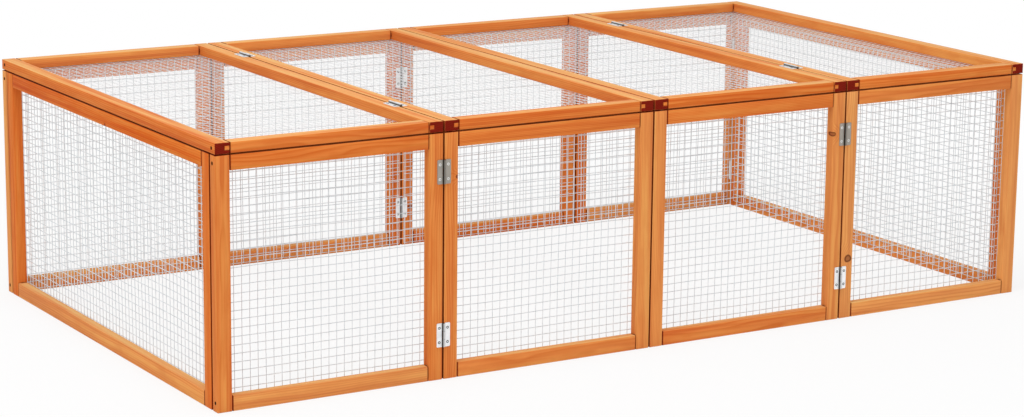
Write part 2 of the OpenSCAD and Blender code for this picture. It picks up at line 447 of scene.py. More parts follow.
@dataclass(frozen=True)
class StainedFir:
    """Planed fir under one thin coat of orange-brown stain, satin.

    The eye gets soft lines of growth rings along each board, golden and red streaks where the
    stain took unevenly, a dark-rimmed knot here and there, a painted highlight of paler gold on
    the faces that look up, painted shade along the joints and gaps, and end grain that drank the
    stain and went dark red.

    Args:
        early: the wood between two dark rings.
        late: the dark side of a ring.
        red_streak: where the stain took strongly.
        gold_streak: where it took weakly.
        knot_rim: the bark round a knot.
        knot_heart: the knot's wood.
        end_grain: the boards' ends.
        joint: the colour of the painted shade along joints and gaps, and of the dark side of the rings in end
            grain.
        top_highlight: the colour of the painted highlight on the faces that look up.
        ring_pitch: from one growth ring to the next.
        ring_stops: where in a ring its dark side starts, is darkest and has ended, from 0 to 1.
        streak: the streaks' length along the board and their width.
        blotch: the same of the blotches.
        fibre: the same of the fibres; real ones are finer, and these are coarse enough to show.
        knot_radius: a usual knot's radius.
        joint_shade: the painted shade in the gap at a rail's shoulder, by the distance from it.
        gap_shade: the same along the gap between walls and lids.
        gap_depth: how far in behind the outer side that line starts and ends to fade.
        edge_shade: the painted shade on the edge that a board turns to its neighbour, by how far it faces it.
        red_layer: how the red streaks follow the streaks' pattern, from their high end.
        gold_layer: how the golden ones do, from its low end.
        blotch_layer: how the blotches darken the wood.
        fibre_layer: how the fibres do.
        near_knot: how the wood darkens towards a knot, in knot radii.
        rim_layer: how the knot's rim starts.
        heart_layer: how its heart does.
        rings_raised: how far a knot raises the rings beside it, in rings.
        rings_reach: how far from the knot it does so, in knot radii.
        wander: how far the rings wander, and over what length and width.
        knot_bend: how far a knot's outline strays, and how many times a metre.
        strongest_tint: the tint at which a board's colour is moved the most.
        value_tint: the value of the darkest and the lightest board.
        hue_tint: the hue of the reddest and the most golden one.
        saturation_tint: their saturation.
        upward: the upward part of a face's direction where the painted highlight starts and is full.
        thin_stain: where on the streaks' pattern the stain starts to be thin and is thinnest.
        top_highlight_share: the share of the painted highlight under thick and under thin stain.
        end_facing: how far along the grain a face looks where end grain starts and is full.
        roughness: the satin's least and greatest roughness.
        end_roughness: the end grain's roughness.
        gloss: the share of a usual surface's gloss.
        relief: the height of the rings and fibres, and how strongly it shows.
    """

    early: str = "#EA8E42"
    late: str = "#DB772F"
    red_streak: str = "#C9541C"
    gold_streak: str = "#EFA552"
    knot_rim: str = "#6A2408"
    knot_heart: str = "#B8602A"
    end_grain: str = "#8C1C0C"
    joint: str = "#6E1602"
    top_highlight: str = "#E4B878"
    ring_pitch: float = 3.1 * MM
    ring_stops: tuple[float, float, float] = (0.35, 0.86, 1.0)
    streak: tuple[float, float] = (420 * MM, 11 * MM)
    blotch: tuple[float, float] = (75 * MM, 22 * MM)
    fibre: tuple[float, float] = (26 * MM, 0.8 * MM)
    knot_radius: float = 5.5 * MM
    joint_shade: Layer = (2.4 * MM, 0.7 * MM, 0.95)
    gap_shade: Layer = (0.8 * MM, 0.2 * MM, 0.95)
    gap_depth: tuple[float, float] = (2 * MM, 6 * MM)
    edge_shade: Layer = (0.80, 0.95, 0.90)
    red_layer: Layer = (0.50, 0.72, 0.65)
    gold_layer: Layer = (0.48, 0.28, 0.75)
    blotch_layer: Layer = (0.48, 0.72, 0.55)
    fibre_layer: Layer = (0.45, 0.75, 0.22)
    near_knot: Layer = (2.6, 1.0, 0.45)
    rim_layer: Layer = (1.05, 0.8, 0.92)
    heart_layer: Layer = (0.62, 0.40, 0.75)
    rings_raised: float = 2.6
    rings_reach: float = 5.0
    wander: tuple[float, float, float] = (16 * MM, 330 * MM, 70 * MM)
    knot_bend: tuple[float, float] = (3 * MM, 90.0)
    strongest_tint: float = 1.5
    value_tint: tuple[float, float] = (0.895, 1.105)
    hue_tint: tuple[float, float] = (0.488, 0.512)
    saturation_tint: tuple[float, float] = (1.04, 0.93)
    upward: tuple[float, float] = (0.70, 0.95)
    thin_stain: tuple[float, float] = (0.65, 0.35)
    top_highlight_share: tuple[float, float] = (0.15, 0.75)
    end_facing: tuple[float, float] = (0.55, 0.85)
    roughness: tuple[float, float] = (0.62, 0.78)
    end_roughness: float = 0.85
    gloss: float = 0.10
    relief: tuple[float, float] = (0.2 * MM, 0.30)

    def material(self) -> bpy.types.Material:
        """Builds the wood: rings about each board's own pith, streaks, fibres, a knot and end grain.

        Returns:
            The material of every board.
        """
        material, tree, shader = new_material("stained_fir")
        grain = add_node(tree, "Attribute", attribute_name="grain").outputs["Vector"]
        to_knot = self.knot_distance(tree, grain)
        rings = self.rings(tree, grain, to_knot)
        streaks = self.stretched_noise(tree, grain, *self.streak, detail=3.0)
        blotches = self.stretched_noise(tree, grain, *self.blotch)
        fibres = self.stretched_noise(tree, grain, *self.fibre)
        ringed = add_node(tree, "ValToRGB", {"Fac": rings})
        stops = zip((0.0, *self.ring_stops), (self.early, self.early, self.late, self.early))
        set_ramp(ringed, [(place, linear(shade)) for place, shade in stops])
        colour = ringed.outputs["Color"]
        for pattern, layer, towards in (
            (streaks, self.red_layer, self.red_streak), (streaks, self.gold_layer, self.gold_streak),
            (blotches, self.blotch_layer, self.late), (fibres, self.fibre_layer, self.late),
        ):
            colour = self.stained(tree, pattern, layer, colour, towards)
        colour = self.board_tint(tree, self.knotted(tree, to_knot, colour))
        # A painted highlight on the faces that look up, then painted shade along joints and gaps.
        colour = self.jointed(tree, self.top_lit(tree, streaks, colour))
        end_mask = self.end_mask(tree)
        ends = {6: linear(self.end_grain), 7: linear(self.joint)}
        end_colour = add_node(tree, "Mix", {0: rings}, ends, data_type="RGBA").outputs[2]
        colour = add_node(tree, "Mix", {0: end_mask, 6: colour, 7: end_colour}, data_type="RGBA").outputs[2]
        tree.links.new(colour, shader.inputs["Base Color"])
        satin = add_node(
            tree, "MapRange", {"Value": fibres}, dict(enumerate((*NOISE_SPAN, *self.roughness), start=1))
        )
        rough = add_node(tree, "Mix", {0: end_mask, 2: satin.outputs["Result"]}, {3: self.end_roughness})
        tree.links.new(rough.outputs[0], shader.inputs["Roughness"])
        shader.inputs["Specular IOR Level"].default_value = self.gloss
        height = add_node(tree, "Math", {0: fibres, 1: rings}, operation="ADD").outputs[0]
        depth, strength = self.relief
        bump = add_node(tree, "Bump", {"Height": height}, {"Strength": strength, "Distance": depth})
        tree.links.new(bump.outputs["Normal"], shader.inputs["Normal"])
        return material

    def stretched_noise(
        self, tree: Tree, grain: Socket, length: float, width: float, detail: float = 2.0
    ) -> Socket:
        """Noise whose patches are drawn out along the board.

        Args:
            tree: the material's tree.
            grain: where the surface lies in its board, x along the grain.
            length: a patch's length along the grain.
            width: its width across the grain.
            detail: the octaves of the noise.

        Returns:
            The noise, from 0 to 1.
        """
        scale = (1 / length, 1 / width, 1 / width)
        scaled = add_node(tree, "VectorMath", {0: grain}, {1: scale}, operation="MULTIPLY")
        noise = add_node(tree, "TexNoise", {"Vector": scaled.outputs[0]}, {"Scale": 1.0, "Detail": detail})
        return noise.outputs["Fac"]

    def knot_distance(self, tree: Tree, grain: Socket) -> Socket:
        """Distance from the middle line of the board's knot, which runs straight out from the pith.

        Along the grain it is the difference in x. Across the grain it is the part of the place's
        offset from the pith that is square to the knot's own direction.

        Args:
            tree: the material's tree.
            grain: where the surface lies, x along the grain, y and z from the pith.

        Returns:
            The distance in metres, larger beside a small knot and smaller beside a large one.
        """
        knot, tint = (
            add_node(tree, "Attribute", attribute_name=mark).outputs["Vector"] for mark in ("knot", "tint")
        )
        outward = add_node(tree, "VectorMath", {0: knot}, {1: (0, 1, 1)}, operation="MULTIPLY").outputs[0]
        offset = add_node(tree, "VectorMath", {0: grain, 1: knot}, operation="SUBTRACT").outputs[0]
        shadow = add_node(tree, "VectorMath", {0: offset, 1: outward}, operation="PROJECT").outputs[0]
        aside = add_node(tree, "VectorMath", {0: offset, 1: shadow}, operation="SUBTRACT").outputs[0]
        strays, per_metre = self.knot_bend
        warp = add_node(tree, "TexNoise", {"Vector": grain}, {"Scale": per_metre, "Detail": 1.0})
        feeds = {0: warp.outputs["Color"]}
        shift = add_node(tree, "VectorMath", feeds, {1: (0.5, 0.5, 0.5)}, operation="SUBTRACT").outputs[0]
        bent = add_node(
            tree, "VectorMath", {0: shift, 2: aside}, {1: (strays,) * 3}, operation="MULTIPLY_ADD"
        )
        length = add_node(tree, "VectorMath", {0: bent.outputs[0]}, operation="LENGTH").outputs["Value"]
        size = add_node(tree, "SeparateXYZ", {0: tint}).outputs["Z"]
        return add_node(tree, "Math", {0: length, 1: size}, operation="DIVIDE").outputs[0]

    def rings(self, tree: Tree, grain: Socket, to_knot: Socket) -> Socket:
        """Growth rings: the distance from the pith, wandering along the board and bulging at its knot.

        Args:
            tree: the material's tree.
            grain: where the surface lies, x along the grain, y and z from the pith.
            to_knot: the distance from the knot.

        Returns:
            How far through its ring the wood is, from 0 to 1.
        """
        reach, rise = self.rings_reach * self.knot_radius, self.rings_raised * self.ring_pitch
        bulge = add_node(
            tree, "MapRange", {"Value": to_knot}, {1: reach, 2: 0.0, 3: 0.0, 4: rise},
            interpolation_type="SMOOTHERSTEP",
        )
        across = add_node(tree, "VectorMath", {0: grain}, {1: (0, 1, 1)}, operation="MULTIPLY").outputs[0]
        radius = add_node(tree, "VectorMath", {0: across}, operation="LENGTH").outputs["Value"]
        strays, length, width = self.wander
        feeds = {0: self.stretched_noise(tree, grain, length, width), 2: radius}
        wandered = add_node(tree, "Math", feeds, {1: strays}, operation="MULTIPLY_ADD").outputs[0]
        bulged = add_node(tree, "Math", {0: wandered, 1: bulge.outputs["Result"]}, operation="ADD")
        turns = add_node(tree, "Math", {0: bulged.outputs[0]}, {1: self.ring_pitch}, operation="DIVIDE")
        return add_node(tree, "Math", {0: turns.outputs[0]}, operation="FRACT").outputs[0]

    def stained(self, tree: Tree, pattern: Socket, layer: Layer, colour: Socket, towards: str) -> Socket:
        """A colour drawn towards another where a pattern is strong.

        Args:
            tree: the material's tree.
            pattern: the pattern.
            layer: where on it the other colour starts and is full, and the share that it then takes.
            colour: the colour so far.
            towards: the other colour, as sRGB hex.

        Returns:
            The mixed colour.
        """
        start, full, most = layer
        share = add_node(tree, "MapRange", {"Value": pattern}, {1: start, 2: full, 3: 0.0, 4: most})
        feeds = {0: share.outputs["Result"], 6: colour}
        return add_node(tree, "Mix", feeds, {7: linear(towards)}, data_type="RGBA").outputs[2]

    def knotted(self, tree: Tree, to_knot: Socket, colour: Socket) -> Socket:
        """Adds the knot: a dark rim round a lighter heart, in wood that darkens towards it.

        Args:
            tree: the material's tree.
            to_knot: the distance from the knot.
            colour: the wood's colour so far.

        Returns:
            The colour with its knot.
        """
        for (start, full, most), towards in (
            (self.near_knot, self.late), (self.rim_layer, self.knot_rim), (self.heart_layer, self.knot_heart),
        ):
            layer = (start * self.knot_radius, full * self.knot_radius, most)
            colour = self.stained(tree, to_knot, layer, colour, towards)
        return colour

    def board_tint(self, tree: Tree, colour: Socket) -> Socket:
        """Makes each board a little lighter or darker, and a little redder or more golden.

        Args:
            tree: the material's tree.
            colour: the wood's colour so far.

        Returns:
            The board's own colour.
        """
        mark = add_node(tree, "Attribute", attribute_name="tint").outputs["Vector"]
        tint = add_node(tree, "SeparateXYZ", {0: mark})
        feeds = {"Color": colour}
        for name, part, (least, most) in (
            ("Value", "X", self.value_tint), ("Hue", "Y", self.hue_tint),
            ("Saturation", "Y", self.saturation_tint),
        ):
            span = {1: -self.strongest_tint, 2: self.strongest_tint, 3: least, 4: most}
            feeds[name] = add_node(tree, "MapRange", {"Value": tint.outputs[part]}, span).outputs["Result"]
        return add_node(tree, "HueSaturation", feeds).outputs["Color"]

    def top_lit(self, tree: Tree, streaks: Socket, colour: Socket) -> Socket:
        """Paints a highlight of paler gold on the faces that look up, strongest where the stain took least.

        Args:
            tree: the material's tree.
            streaks: where the stain took, golden at its low end and red at its high end.
            colour: the wood's colour so far.

        Returns:
            The colour with its painted highlight.
        """
        # A painted highlight of paler gold on the faces that look up, by the face's upward direction.
        up = add_node(tree, "SeparateXYZ", {0: add_node(tree, "TexCoord").outputs["Normal"]}).outputs["Z"]
        low, high = self.upward
        upward = add_node(tree, "MapRange", {"Value": up}, {1: low, 2: high, 3: 0.0, 4: 1.0})
        span = dict(enumerate((*self.thin_stain, *self.top_highlight_share), start=1))
        thin = add_node(tree, "MapRange", {"Value": streaks}, span)
        both = add_node(tree, "Math", {0: upward.outputs[0], 1: thin.outputs[0]}, operation="MULTIPLY")
        return self.stained(tree, both.outputs[0], (0.0, 1.0, 1.0), colour, self.top_highlight)

    def jointed(self, tree: Tree, colour: Socket) -> Socket:
        """Paints shade on the wood along its joints and gaps, where they lie in shadow.

        These are a rail's shoulders, the edge that a board turns to its neighbour, and the
        outer arris of the gap between walls and lids.

        Args:
            tree: the material's tree.
            colour: the wood's colour so far.

        Returns:
            The darkened colour.
        """
        span, gap, edge = (
            add_node(tree, "Attribute", attribute_name=mark).outputs["Vector"]
            for mark in ("span", "gap", "edge")
        )
        ends = add_node(tree, "SeparateXYZ", {0: span})
        far = add_node(tree, "Math", {0: ends.outputs["Y"], 1: ends.outputs["X"]}, operation="SUBTRACT")
        nearest = add_node(tree, "Math", {0: ends.outputs["X"], 1: far.outputs[0]}, operation="MINIMUM")
        beside = add_node(tree, "Math", {0: nearest.outputs[0]}, operation="ABSOLUTE").outputs[0]
        behind = add_node(tree, "SeparateXYZ", {0: gap})
        near, deep = self.gap_depth
        fading = {1: near, 2: deep, 3: 0.0, 4: self.gap_shade[0]}
        inwards = add_node(tree, "MapRange", {"Value": behind.outputs["X"]}, fading).outputs["Result"]
        off_gap = add_node(tree, "Math", {0: behind.outputs["Y"], 1: inwards}, operation="ADD").outputs[0]
        feeds = {0: add_node(tree, "TexCoord").outputs["Normal"], 1: edge}
        facing = add_node(tree, "VectorMath", feeds, operation="DOT_PRODUCT").outputs["Value"]
        # Painted shade at the shoulders, along the gap between walls and lids, and on edges that face a
        # neighbour.
        for pattern, layer in (
            (beside, self.joint_shade), (off_gap, self.gap_shade), (facing, self.edge_shade),
        ):
            colour = self.stained(tree, pattern, layer, colour, self.joint)
        return colour

    def end_mask(self, tree: Tree) -> Socket:
        """One where a face is square to its board's grain, and nothing where it runs along it.

        Args:
            tree: the material's tree.

        Returns:
            The share of end grain, from 0 to 1.
        """
        axis = add_node(tree, "Attribute", attribute_name="axis").outputs["Vector"]
        feeds = {0: add_node(tree, "TexCoord").outputs["Normal"], 1: axis}
        along = add_node(tree, "VectorMath", feeds, operation="DOT_PRODUCT").outputs["Value"]
        size = add_node(tree, "Math", {0: along}, operation="ABSOLUTE").outputs[0]
        start, full = self.end_facing
        span = {1: start, 2: full, 3: 0.0, 4: 1.0}
        return add_node(tree, "MapRange", {"Value": size}, span).outputs["Result"]


@dataclass(frozen=True)
class ZincSteel:
    """Steel under a coat of zinc: bright and a little cloudy where it was plated, duller when drawn.

    The eye gets a cool pale metal whose gloss varies in soft patches of a centimetre or so, and
    on pressed parts painted shade and dark reflection along the knuckles and the crevice beside
    them, lighter on the knuckles' crests as a painted highlight.

    Args:
        name: the material's name.
        bright: its colour where the coat is bright.
        cloudy: its colour where the coat has gone cloudy.
        worn: its colour where a wear mark is full.
        metallic: how much of its light comes as from bare metal.
        roughness: the least and greatest roughness.
        marked: whether the part bears relief and wear marks, so that the painted knuckle shade and the wear
            show on it.
        knuckle_shade: the most that the painted shade covers.
        knuckle_shade_out: the distances along a relief's x, out from the pin, between which the painted shade
            runs out.
        knuckle_shade_up: the heights along its y between which it thins.
        knuckle_shade_left: the share that is left at the upper height, so that the crest stays lighter as a
            painted highlight.
        knuckle_shade_colour: the painted shade's colour.
        patch: how far it is from one cloudy patch to the next.
        clouding: where on the patches' pattern the coat is cloudy and where it is bright.
        speck: how far it is from one speck in the relief to the next, coarse enough to show.
        relief: the specks' height, and how strongly it shows.
    """

    name: str
    bright: str
    cloudy: str
    worn: str
    metallic: float
    roughness: tuple[float, float]
    marked: bool = False
    knuckle_shade: float = 0.0
    knuckle_shade_out: tuple[float, float] = (2.5 * MM, 3.4 * MM)
    knuckle_shade_up: tuple[float, float] = (2.4 * MM, 1.2 * MM)
    knuckle_shade_left: float = 0.35
    knuckle_shade_colour: str = "#2A251F"
    patch: float = 9 * MM
    clouding: tuple[float, float] = (0.32, 0.68)
    speck: float = 0.8 * MM
    relief: tuple[float, float] = (0.1 * MM, 0.12)

    def material(self) -> bpy.types.Material:
        """Builds the coat: patches of tone and gloss, fine specks in the relief, and the painted knuckle
        shade.

        Returns:
            The coated metal.
        """
        material, tree, shader = new_material(self.name)
        place = add_node(tree, "TexCoord").outputs["Object"]
        patches = add_node(tree, "TexNoise", {"Vector": place}, {"Scale": 1 / self.patch, "Detail": 3.0})
        specks = add_node(tree, "TexNoise", {"Vector": place}, {"Scale": 1 / self.speck, "Detail": 1.0})
        tone = add_node(tree, "ValToRGB", {"Fac": patches.outputs["Fac"]})
        set_ramp(tone, list(zip(self.clouding, (linear(self.cloudy), linear(self.bright)))))
        colour = self.knuckle_shaded(tree, tone.outputs["Color"]) if self.marked else tone.outputs["Color"]
        tree.links.new(colour, shader.inputs["Base Color"])
        span = dict(enumerate((*NOISE_SPAN, *reversed(self.roughness)), start=1))
        rough = add_node(tree, "MapRange", {"Value": patches.outputs["Fac"]}, span)
        tree.links.new(rough.outputs["Result"], shader.inputs["Roughness"])
        shader.inputs["Metallic"].default_value = self.metallic
        depth, strength = self.relief
        levels = {"Strength": strength, "Distance": depth}
        bump = add_node(tree, "Bump", {"Height": specks.outputs["Fac"]}, levels)
        tree.links.new(bump.outputs["Normal"], shader.inputs["Normal"])
        return material

    def knuckle_shaded(self, tree: Tree, colour: Socket) -> Socket:
        """Paints shade and dark reflection over the metal, thick low down and close to the pin, and dulls the
        worn parts.

        Args:
            tree: the material's tree.
            colour: the metal's colour before shade and wear.

        Returns:
            The colour with its painted shade and its wear.
        """
        relief, wear = (
            add_node(tree, "SeparateXYZ", {0: mark.outputs["Vector"]})
            for mark in (add_node(tree, "Attribute", attribute_name=name) for name in ("relief", "wear"))
        )
        # Painted shade along the knuckles and the crevice beside them, thinner up on the crest, spared by the
        # wear mark's y.
        aside = add_node(tree, "Math", {0: relief.outputs["X"]}, operation="ABSOLUTE").outputs[0]
        near, far = self.knuckle_shade_out
        out = add_node(tree, "MapRange", {"Value": aside}, {1: near, 2: far, 3: 1.0, 4: 0.0})
        high, low = self.knuckle_shade_up
        span = {1: high, 2: low, 3: self.knuckle_shade_left, 4: 1.0}
        up = add_node(tree, "MapRange", {"Value": relief.outputs["Y"]}, span)
        span = {1: 0.0, 2: 1.0, 3: self.knuckle_shade, 4: 0.0}
        kept = add_node(tree, "MapRange", {"Value": wear.outputs["Y"]}, span)
        share = out.outputs["Result"]
        for factor in (up, kept):
            feeds = {0: share, 1: factor.outputs["Result"]}
            share = add_node(tree, "Math", feeds, operation="MULTIPLY").outputs[0]
        for factor, towards in ((wear.outputs["X"], self.worn), (share, self.knuckle_shade_colour)):
            feeds = {0: factor, 6: colour}
            colour = add_node(tree, "Mix", feeds, {7: linear(towards)}, data_type="RGBA").outputs[2]
        return colour


WALL_NET = ZincSteel("galvanised_net", "#E6E9EB", "#D3D8DB", "#D3D8DB", 0.35, (0.30, 0.45))
# The lids' wire is thinner, and a paler, less metallic copy of the walls' zinc, which paints the light that
# falls on it from above.
LID_NET = ZincSteel("top_lit_galvanised_net", "#F6F8F9", "#E4E7E9", "#E4E7E9", 0.20, (0.30, 0.45))
# The walls' leaves bear painted shade and dark reflection along their knuckles.
WALL_LEAF = ZincSteel(
    "zinc_plated_leaf", "#FAFBFC", "#EEF0F1", "#8F8577", 0.80, (0.28, 0.46), marked=True, knuckle_shade=0.95
)
# The lids' leaves are a less metallic copy of the walls', which paints the light from above on them as white;
# their knuckle crests keep almost none of the painted shade, as a painted highlight.
LID_LEAF = ZincSteel(
    "top_lit_zinc_leaf", "#F4F6F7", "#EAECEE", "#8F8577", 0.35, (0.28, 0.46), marked=True, knuckle_shade=0.90,
    knuckle_shade_up=(1.8 * MM, 0.4 * MM), knuckle_shade_left=0.08,
)
# A screw's wear mark darkens its whole head: fully on a fresh leaf, slightly on a dull one.
SCREW = ZincSteel("zinc_plated_screw", "#FFFFFF", "#F0F0EC", "#4A4844", 0.30, (0.30, 0.50), marked=True)


@dataclass(frozen=True)
class SunkBrad:
    """The head of a brad, sunk in its hole: a small dark matt disc as wide as the hole, which paints the
    hole's shade as well as the head.
    """

    colour: str = "#200803"
    roughness: float = 0.9
    gloss: float = 0.05

    def material(self) -> bpy.types.Material:
        """Builds the brad's plain matt black-brown.

        Returns:
            The brads' material.
        """
        material, _, shader = new_material("brad_and_hole_shade")
        shader.inputs["Base Color"].default_value = linear(self.colour)
        shader.inputs["Roughness"].default_value = self.roughness
        shader.inputs["Specular IOR Level"].default_value = self.gloss
        return material


@dataclass(frozen=True)
class PaleFloor:
    """A plain white studio floor that keeps a soft shadow close to the run.

    Towards the camera, and in reflections, part of its white comes from its own colour, more and
    more of it further out, so that it runs into the white behind it.

    Args:
        paint: the paint's colour.
        roughness: its roughness.
        gloss: the share of a usual surface's gloss.
        own_white: the share of its own white near the run and far out.
        fades_over: the distances over which that share grows.
    """

    paint: str = "#EBEBEB"
    roughness: float = 0.9
    gloss: float = 0.1
    own_white: tuple[float, float] = (0.80, 1.0)
    fades_over: tuple[float, float] = (0.9, 2.4)

    def material(self) -> bpy.types.Material:
        """Builds the floor: matt paint for the light, mixed with its own white for what is seen.

        Returns:
            The floor's material.
        """
        material, tree, shader = new_material("pale_floor")
        shader.inputs["Base Color"].default_value = linear(self.paint)
        shader.inputs["Roughness"].default_value = self.roughness
        shader.inputs["Specular IOR Level"].default_value = self.gloss
        glow = add_node(tree, "Emission", values={"Color": WHITE, "Strength": 1.0})
        place = add_node(tree, "TexCoord").outputs["Object"]
        away = add_node(tree, "VectorMath", {0: place}, operation="LENGTH")
        near, far = self.fades_over
        least, most = self.own_white
        white = add_node(
            tree, "MapRange", {"Value": away.outputs["Value"]}, {1: near, 2: far, 3: least, 4: most},
            interpolation_type="SMOOTHSTEP",
        )
        feeds = {0: seen_directly(tree), 1: white.outputs["Result"]}
        share = add_node(tree, "Math", feeds, operation="MULTIPLY").outputs[0]
        mix = add_node(tree, "MixShader", {0: share, 1: shader.outputs[0], 2: glow.outputs[0]})
        output = next(node for node in tree.nodes if node.type == "OUTPUT_MATERIAL")
        tree.links.new(mix.outputs[0], output.inputs["Surface"])
        return material


def seen_directly(tree: Tree) -> Socket:
    """One for rays from the camera, off gloss and through glass, and nothing for the rest.

    Args:
        tree: the material's or world's tree.

    Returns:
        The value, 0 or 1.
    """
    path = add_node(tree, "LightPath")
    seen = path.outputs["Is Camera Ray"]
    for ray in ("Is Glossy Ray", "Is Transmission Ray"):
        seen = add_node(tree, "Math", {0: seen, 1: path.outputs[ray]}, operation="MAXIMUM").outputs[0]
    return seen


# ---------------------------------------------------------------- frames of board and net


class Stance(Enum):
    """How a frame stands in the run: the directions of its u, v and w."""

    FRONT = ((1, 0, 0), (0, 1, 0), (0, 0, 1))
    BACK = ((1, 0, 0), (0, -1, 0), (0, 0, 1))
    LEFT_END = ((0, -1, 0), (1, 0, 0), (0, 0, 1))
    RIGHT_END = ((0, -1, 0), (-1, 0, 0), (0, 0, 1))
    ROOF = ((1, 0, 0), (0, 0, -1), (0, 1, 0))


@dataclass(frozen=True)
class Placement:
    """Where a frame stands: the corner where u, v and w start, their directions, and its size."""

    origin: np.ndarray
    rows: np.ndarray
    size: np.ndarray

    @classmethod
    def of_stiles(cls, name: str, stance: Stance) -> "Placement":
        """Reads a frame's place from its stiles, which reach its full length, thickness and height.

        Args:
            name: the CAD body's name.
            stance: how the frame stands.

        Returns:
            The frame's place.
        """
        low, high = (np.array(corner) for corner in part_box(f"{name}_stiles"))
        rows = np.array(stance.value, float)
        forward = rows.sum(axis=0) > 0
        return cls(np.where(forward, low, high), rows, np.abs(rows @ (high - low)))

    def carried(self, shell: Shell) -> Shell:
        """A shell from the frame's own coordinates in the run's."""
        return shell.turned(self.rows).moved(self.origin)


@dataclass(frozen=True)
class Joinery:
    """The boards' section and the open-slot tenon joint at each corner of a frame.

    Args:
        board_width: the width of every board.
        tenon_length: how far a tenon reaches into its stile.
        tenon_thickness: the tenon's thickness.
        slot_fit: the air round a tenon.
        shoulder_gap: the gap at a rail's shoulder.
        planed_off: what planing took off the faces, beside the CAD solid.
        rail_set_back: the most that a rail lies behind its stiles.
        least_set_back: the share of it that every rail lies behind.
    """

    board_width: float = 28 * MM
    tenon_length: float = 9 * MM
    tenon_thickness: float = 7 * MM
    slot_fit: float = 0.15 * MM
    shoulder_gap: float = 1.1 * MM
    planed_off: float = 0.1 * MM
    rail_set_back: float = 0.25 * MM
    least_set_back: float = 0.2

    def stile(self, height: float, thickness: float) -> Shell:
        """A board along w with an open slot for a tenon in its +u edge at each end.

        Four levels along the board carry the same eight corners: the full section's four, and
        the slot's four. Between the outer levels the sides follow the slot in, between the
        inner ones they go straight past it, and a floor closes each slot.

        Args:
            height: the board's length.
            thickness: the board's thickness.

        Returns:
            The closed board, with its outer edge at u = 0.
        """
        low, high, width = self.planed_off, thickness - self.planed_off, self.board_width
        depth = width - self.tenon_length - self.slot_fit
        half = self.tenon_thickness / 2 + self.slot_fit
        lip, brow = thickness / 2 - half, thickness / 2 + half
        section = np.array([
            [low, low], [width, low], [width, lip], [depth, lip],
            [depth, brow], [width, brow], [width, high], [low, high],
        ])
        slot = width + self.slot_fit
        levels = np.array([0.0, slot, height - slot, height])
        count = len(section)
        points = np.concatenate([np.column_stack([section, np.full(count, z)]) for z in levels])
        here = np.arange(count)
        onward = (here + 1) % count
        slotted = np.column_stack([here, onward, onward + count, here + count])
        # Past the slots the wall skips the slot's two inner corners, 3 and 4.
        past = np.array([0, 1, 2, 5, 6, 7])
        past_on = np.roll(past, -1)
        plain = np.column_stack([past, past_on, past_on + count, past + count]) + count
        floors = np.array([[3, 4, 5, 2], [3 + count, 2 + count, 5 + count, 4 + count]]) + count
        ends = np.array([here[::-1], here + 3 * count])
        return Shell(points, [np.concatenate([slotted, slotted + 2 * count, plain, floors]), ends])

    def rail(self, length: float, thickness: float, set_back: float) -> Shell:
        """A board along u between the stiles, with a tenon on each end, from w = 0 up.

        The outline of its face from above, shoulders and tenons included, carried up by the
        board's width.

        Args:
            length: the frame's length.
            thickness: the frame's thickness.
            set_back: how far the face lies behind the stiles' faces.

        Returns:
            The closed board.
        """
        width, gap = self.board_width, self.shoulder_gap
        tip = width - self.tenon_length
        shoulder = width + gap
        lip, brow = (thickness - self.tenon_thickness) / 2, (thickness + self.tenon_thickness) / 2
        low, high = self.planed_off + set_back, thickness - self.planed_off - self.rail_set_back
        right = length - shoulder
        outline = np.array([
            [shoulder, low], [right, low], [right, lip], [length - tip, lip],
            [length - tip, brow], [right, brow], [right, high], [shoulder, high],
            [shoulder, brow], [tip, brow], [tip, lip], [shoulder, lip],
        ])
        return extruded(outline, self.planed_off, width - self.planed_off)


@dataclass(frozen=True)
class Pull:
    """How a net is drawn out of true.

    In its plane a place moves by a product of two slow sines, which fades out at the boards. Out
    of its plane it moves by the bulge times the square of one sine across and one up the net.

    Args:
        reach: the net's edges.
        waves: the most that a place moves in the plane.
        bulge: the most that it moves out of it.
        phases: where each of the four sines starts.
        lengths: the sines' wavelengths: w and u for what moves along u, then u and w.
    """

    reach: Patch
    waves: float
    bulge: float
    phases: np.ndarray
    lengths: tuple[float, float, float, float] = (0.41, 0.57, 0.37, 0.63)

    def shift(self, u: np.ndarray, w: np.ndarray) -> tuple[np.ndarray, np.ndarray, np.ndarray]:
        """How far the places move along u, v and w.

        Args:
            u: the places' u.
            w: their w.

        Returns:
            The three shifts.
        """
        left, right, bottom, top = self.reach
        inside = np.sin(math.pi * np.clip((u - left) / (right - left), 0, 1))
        inside *= np.sin(math.pi * np.clip((w - bottom) / (top - bottom), 0, 1))
        spread = self.waves * np.clip(2 * inside, 0, 1)
        slow = [
            np.sin(2 * math.pi * place / length + phase)
            for place, length, phase in zip((w, u, u, w), self.lengths, self.phases)
        ]
        return spread * (slow[0] * slow[1]), self.bulge * inside**2, spread * (slow[2] * slow[3])


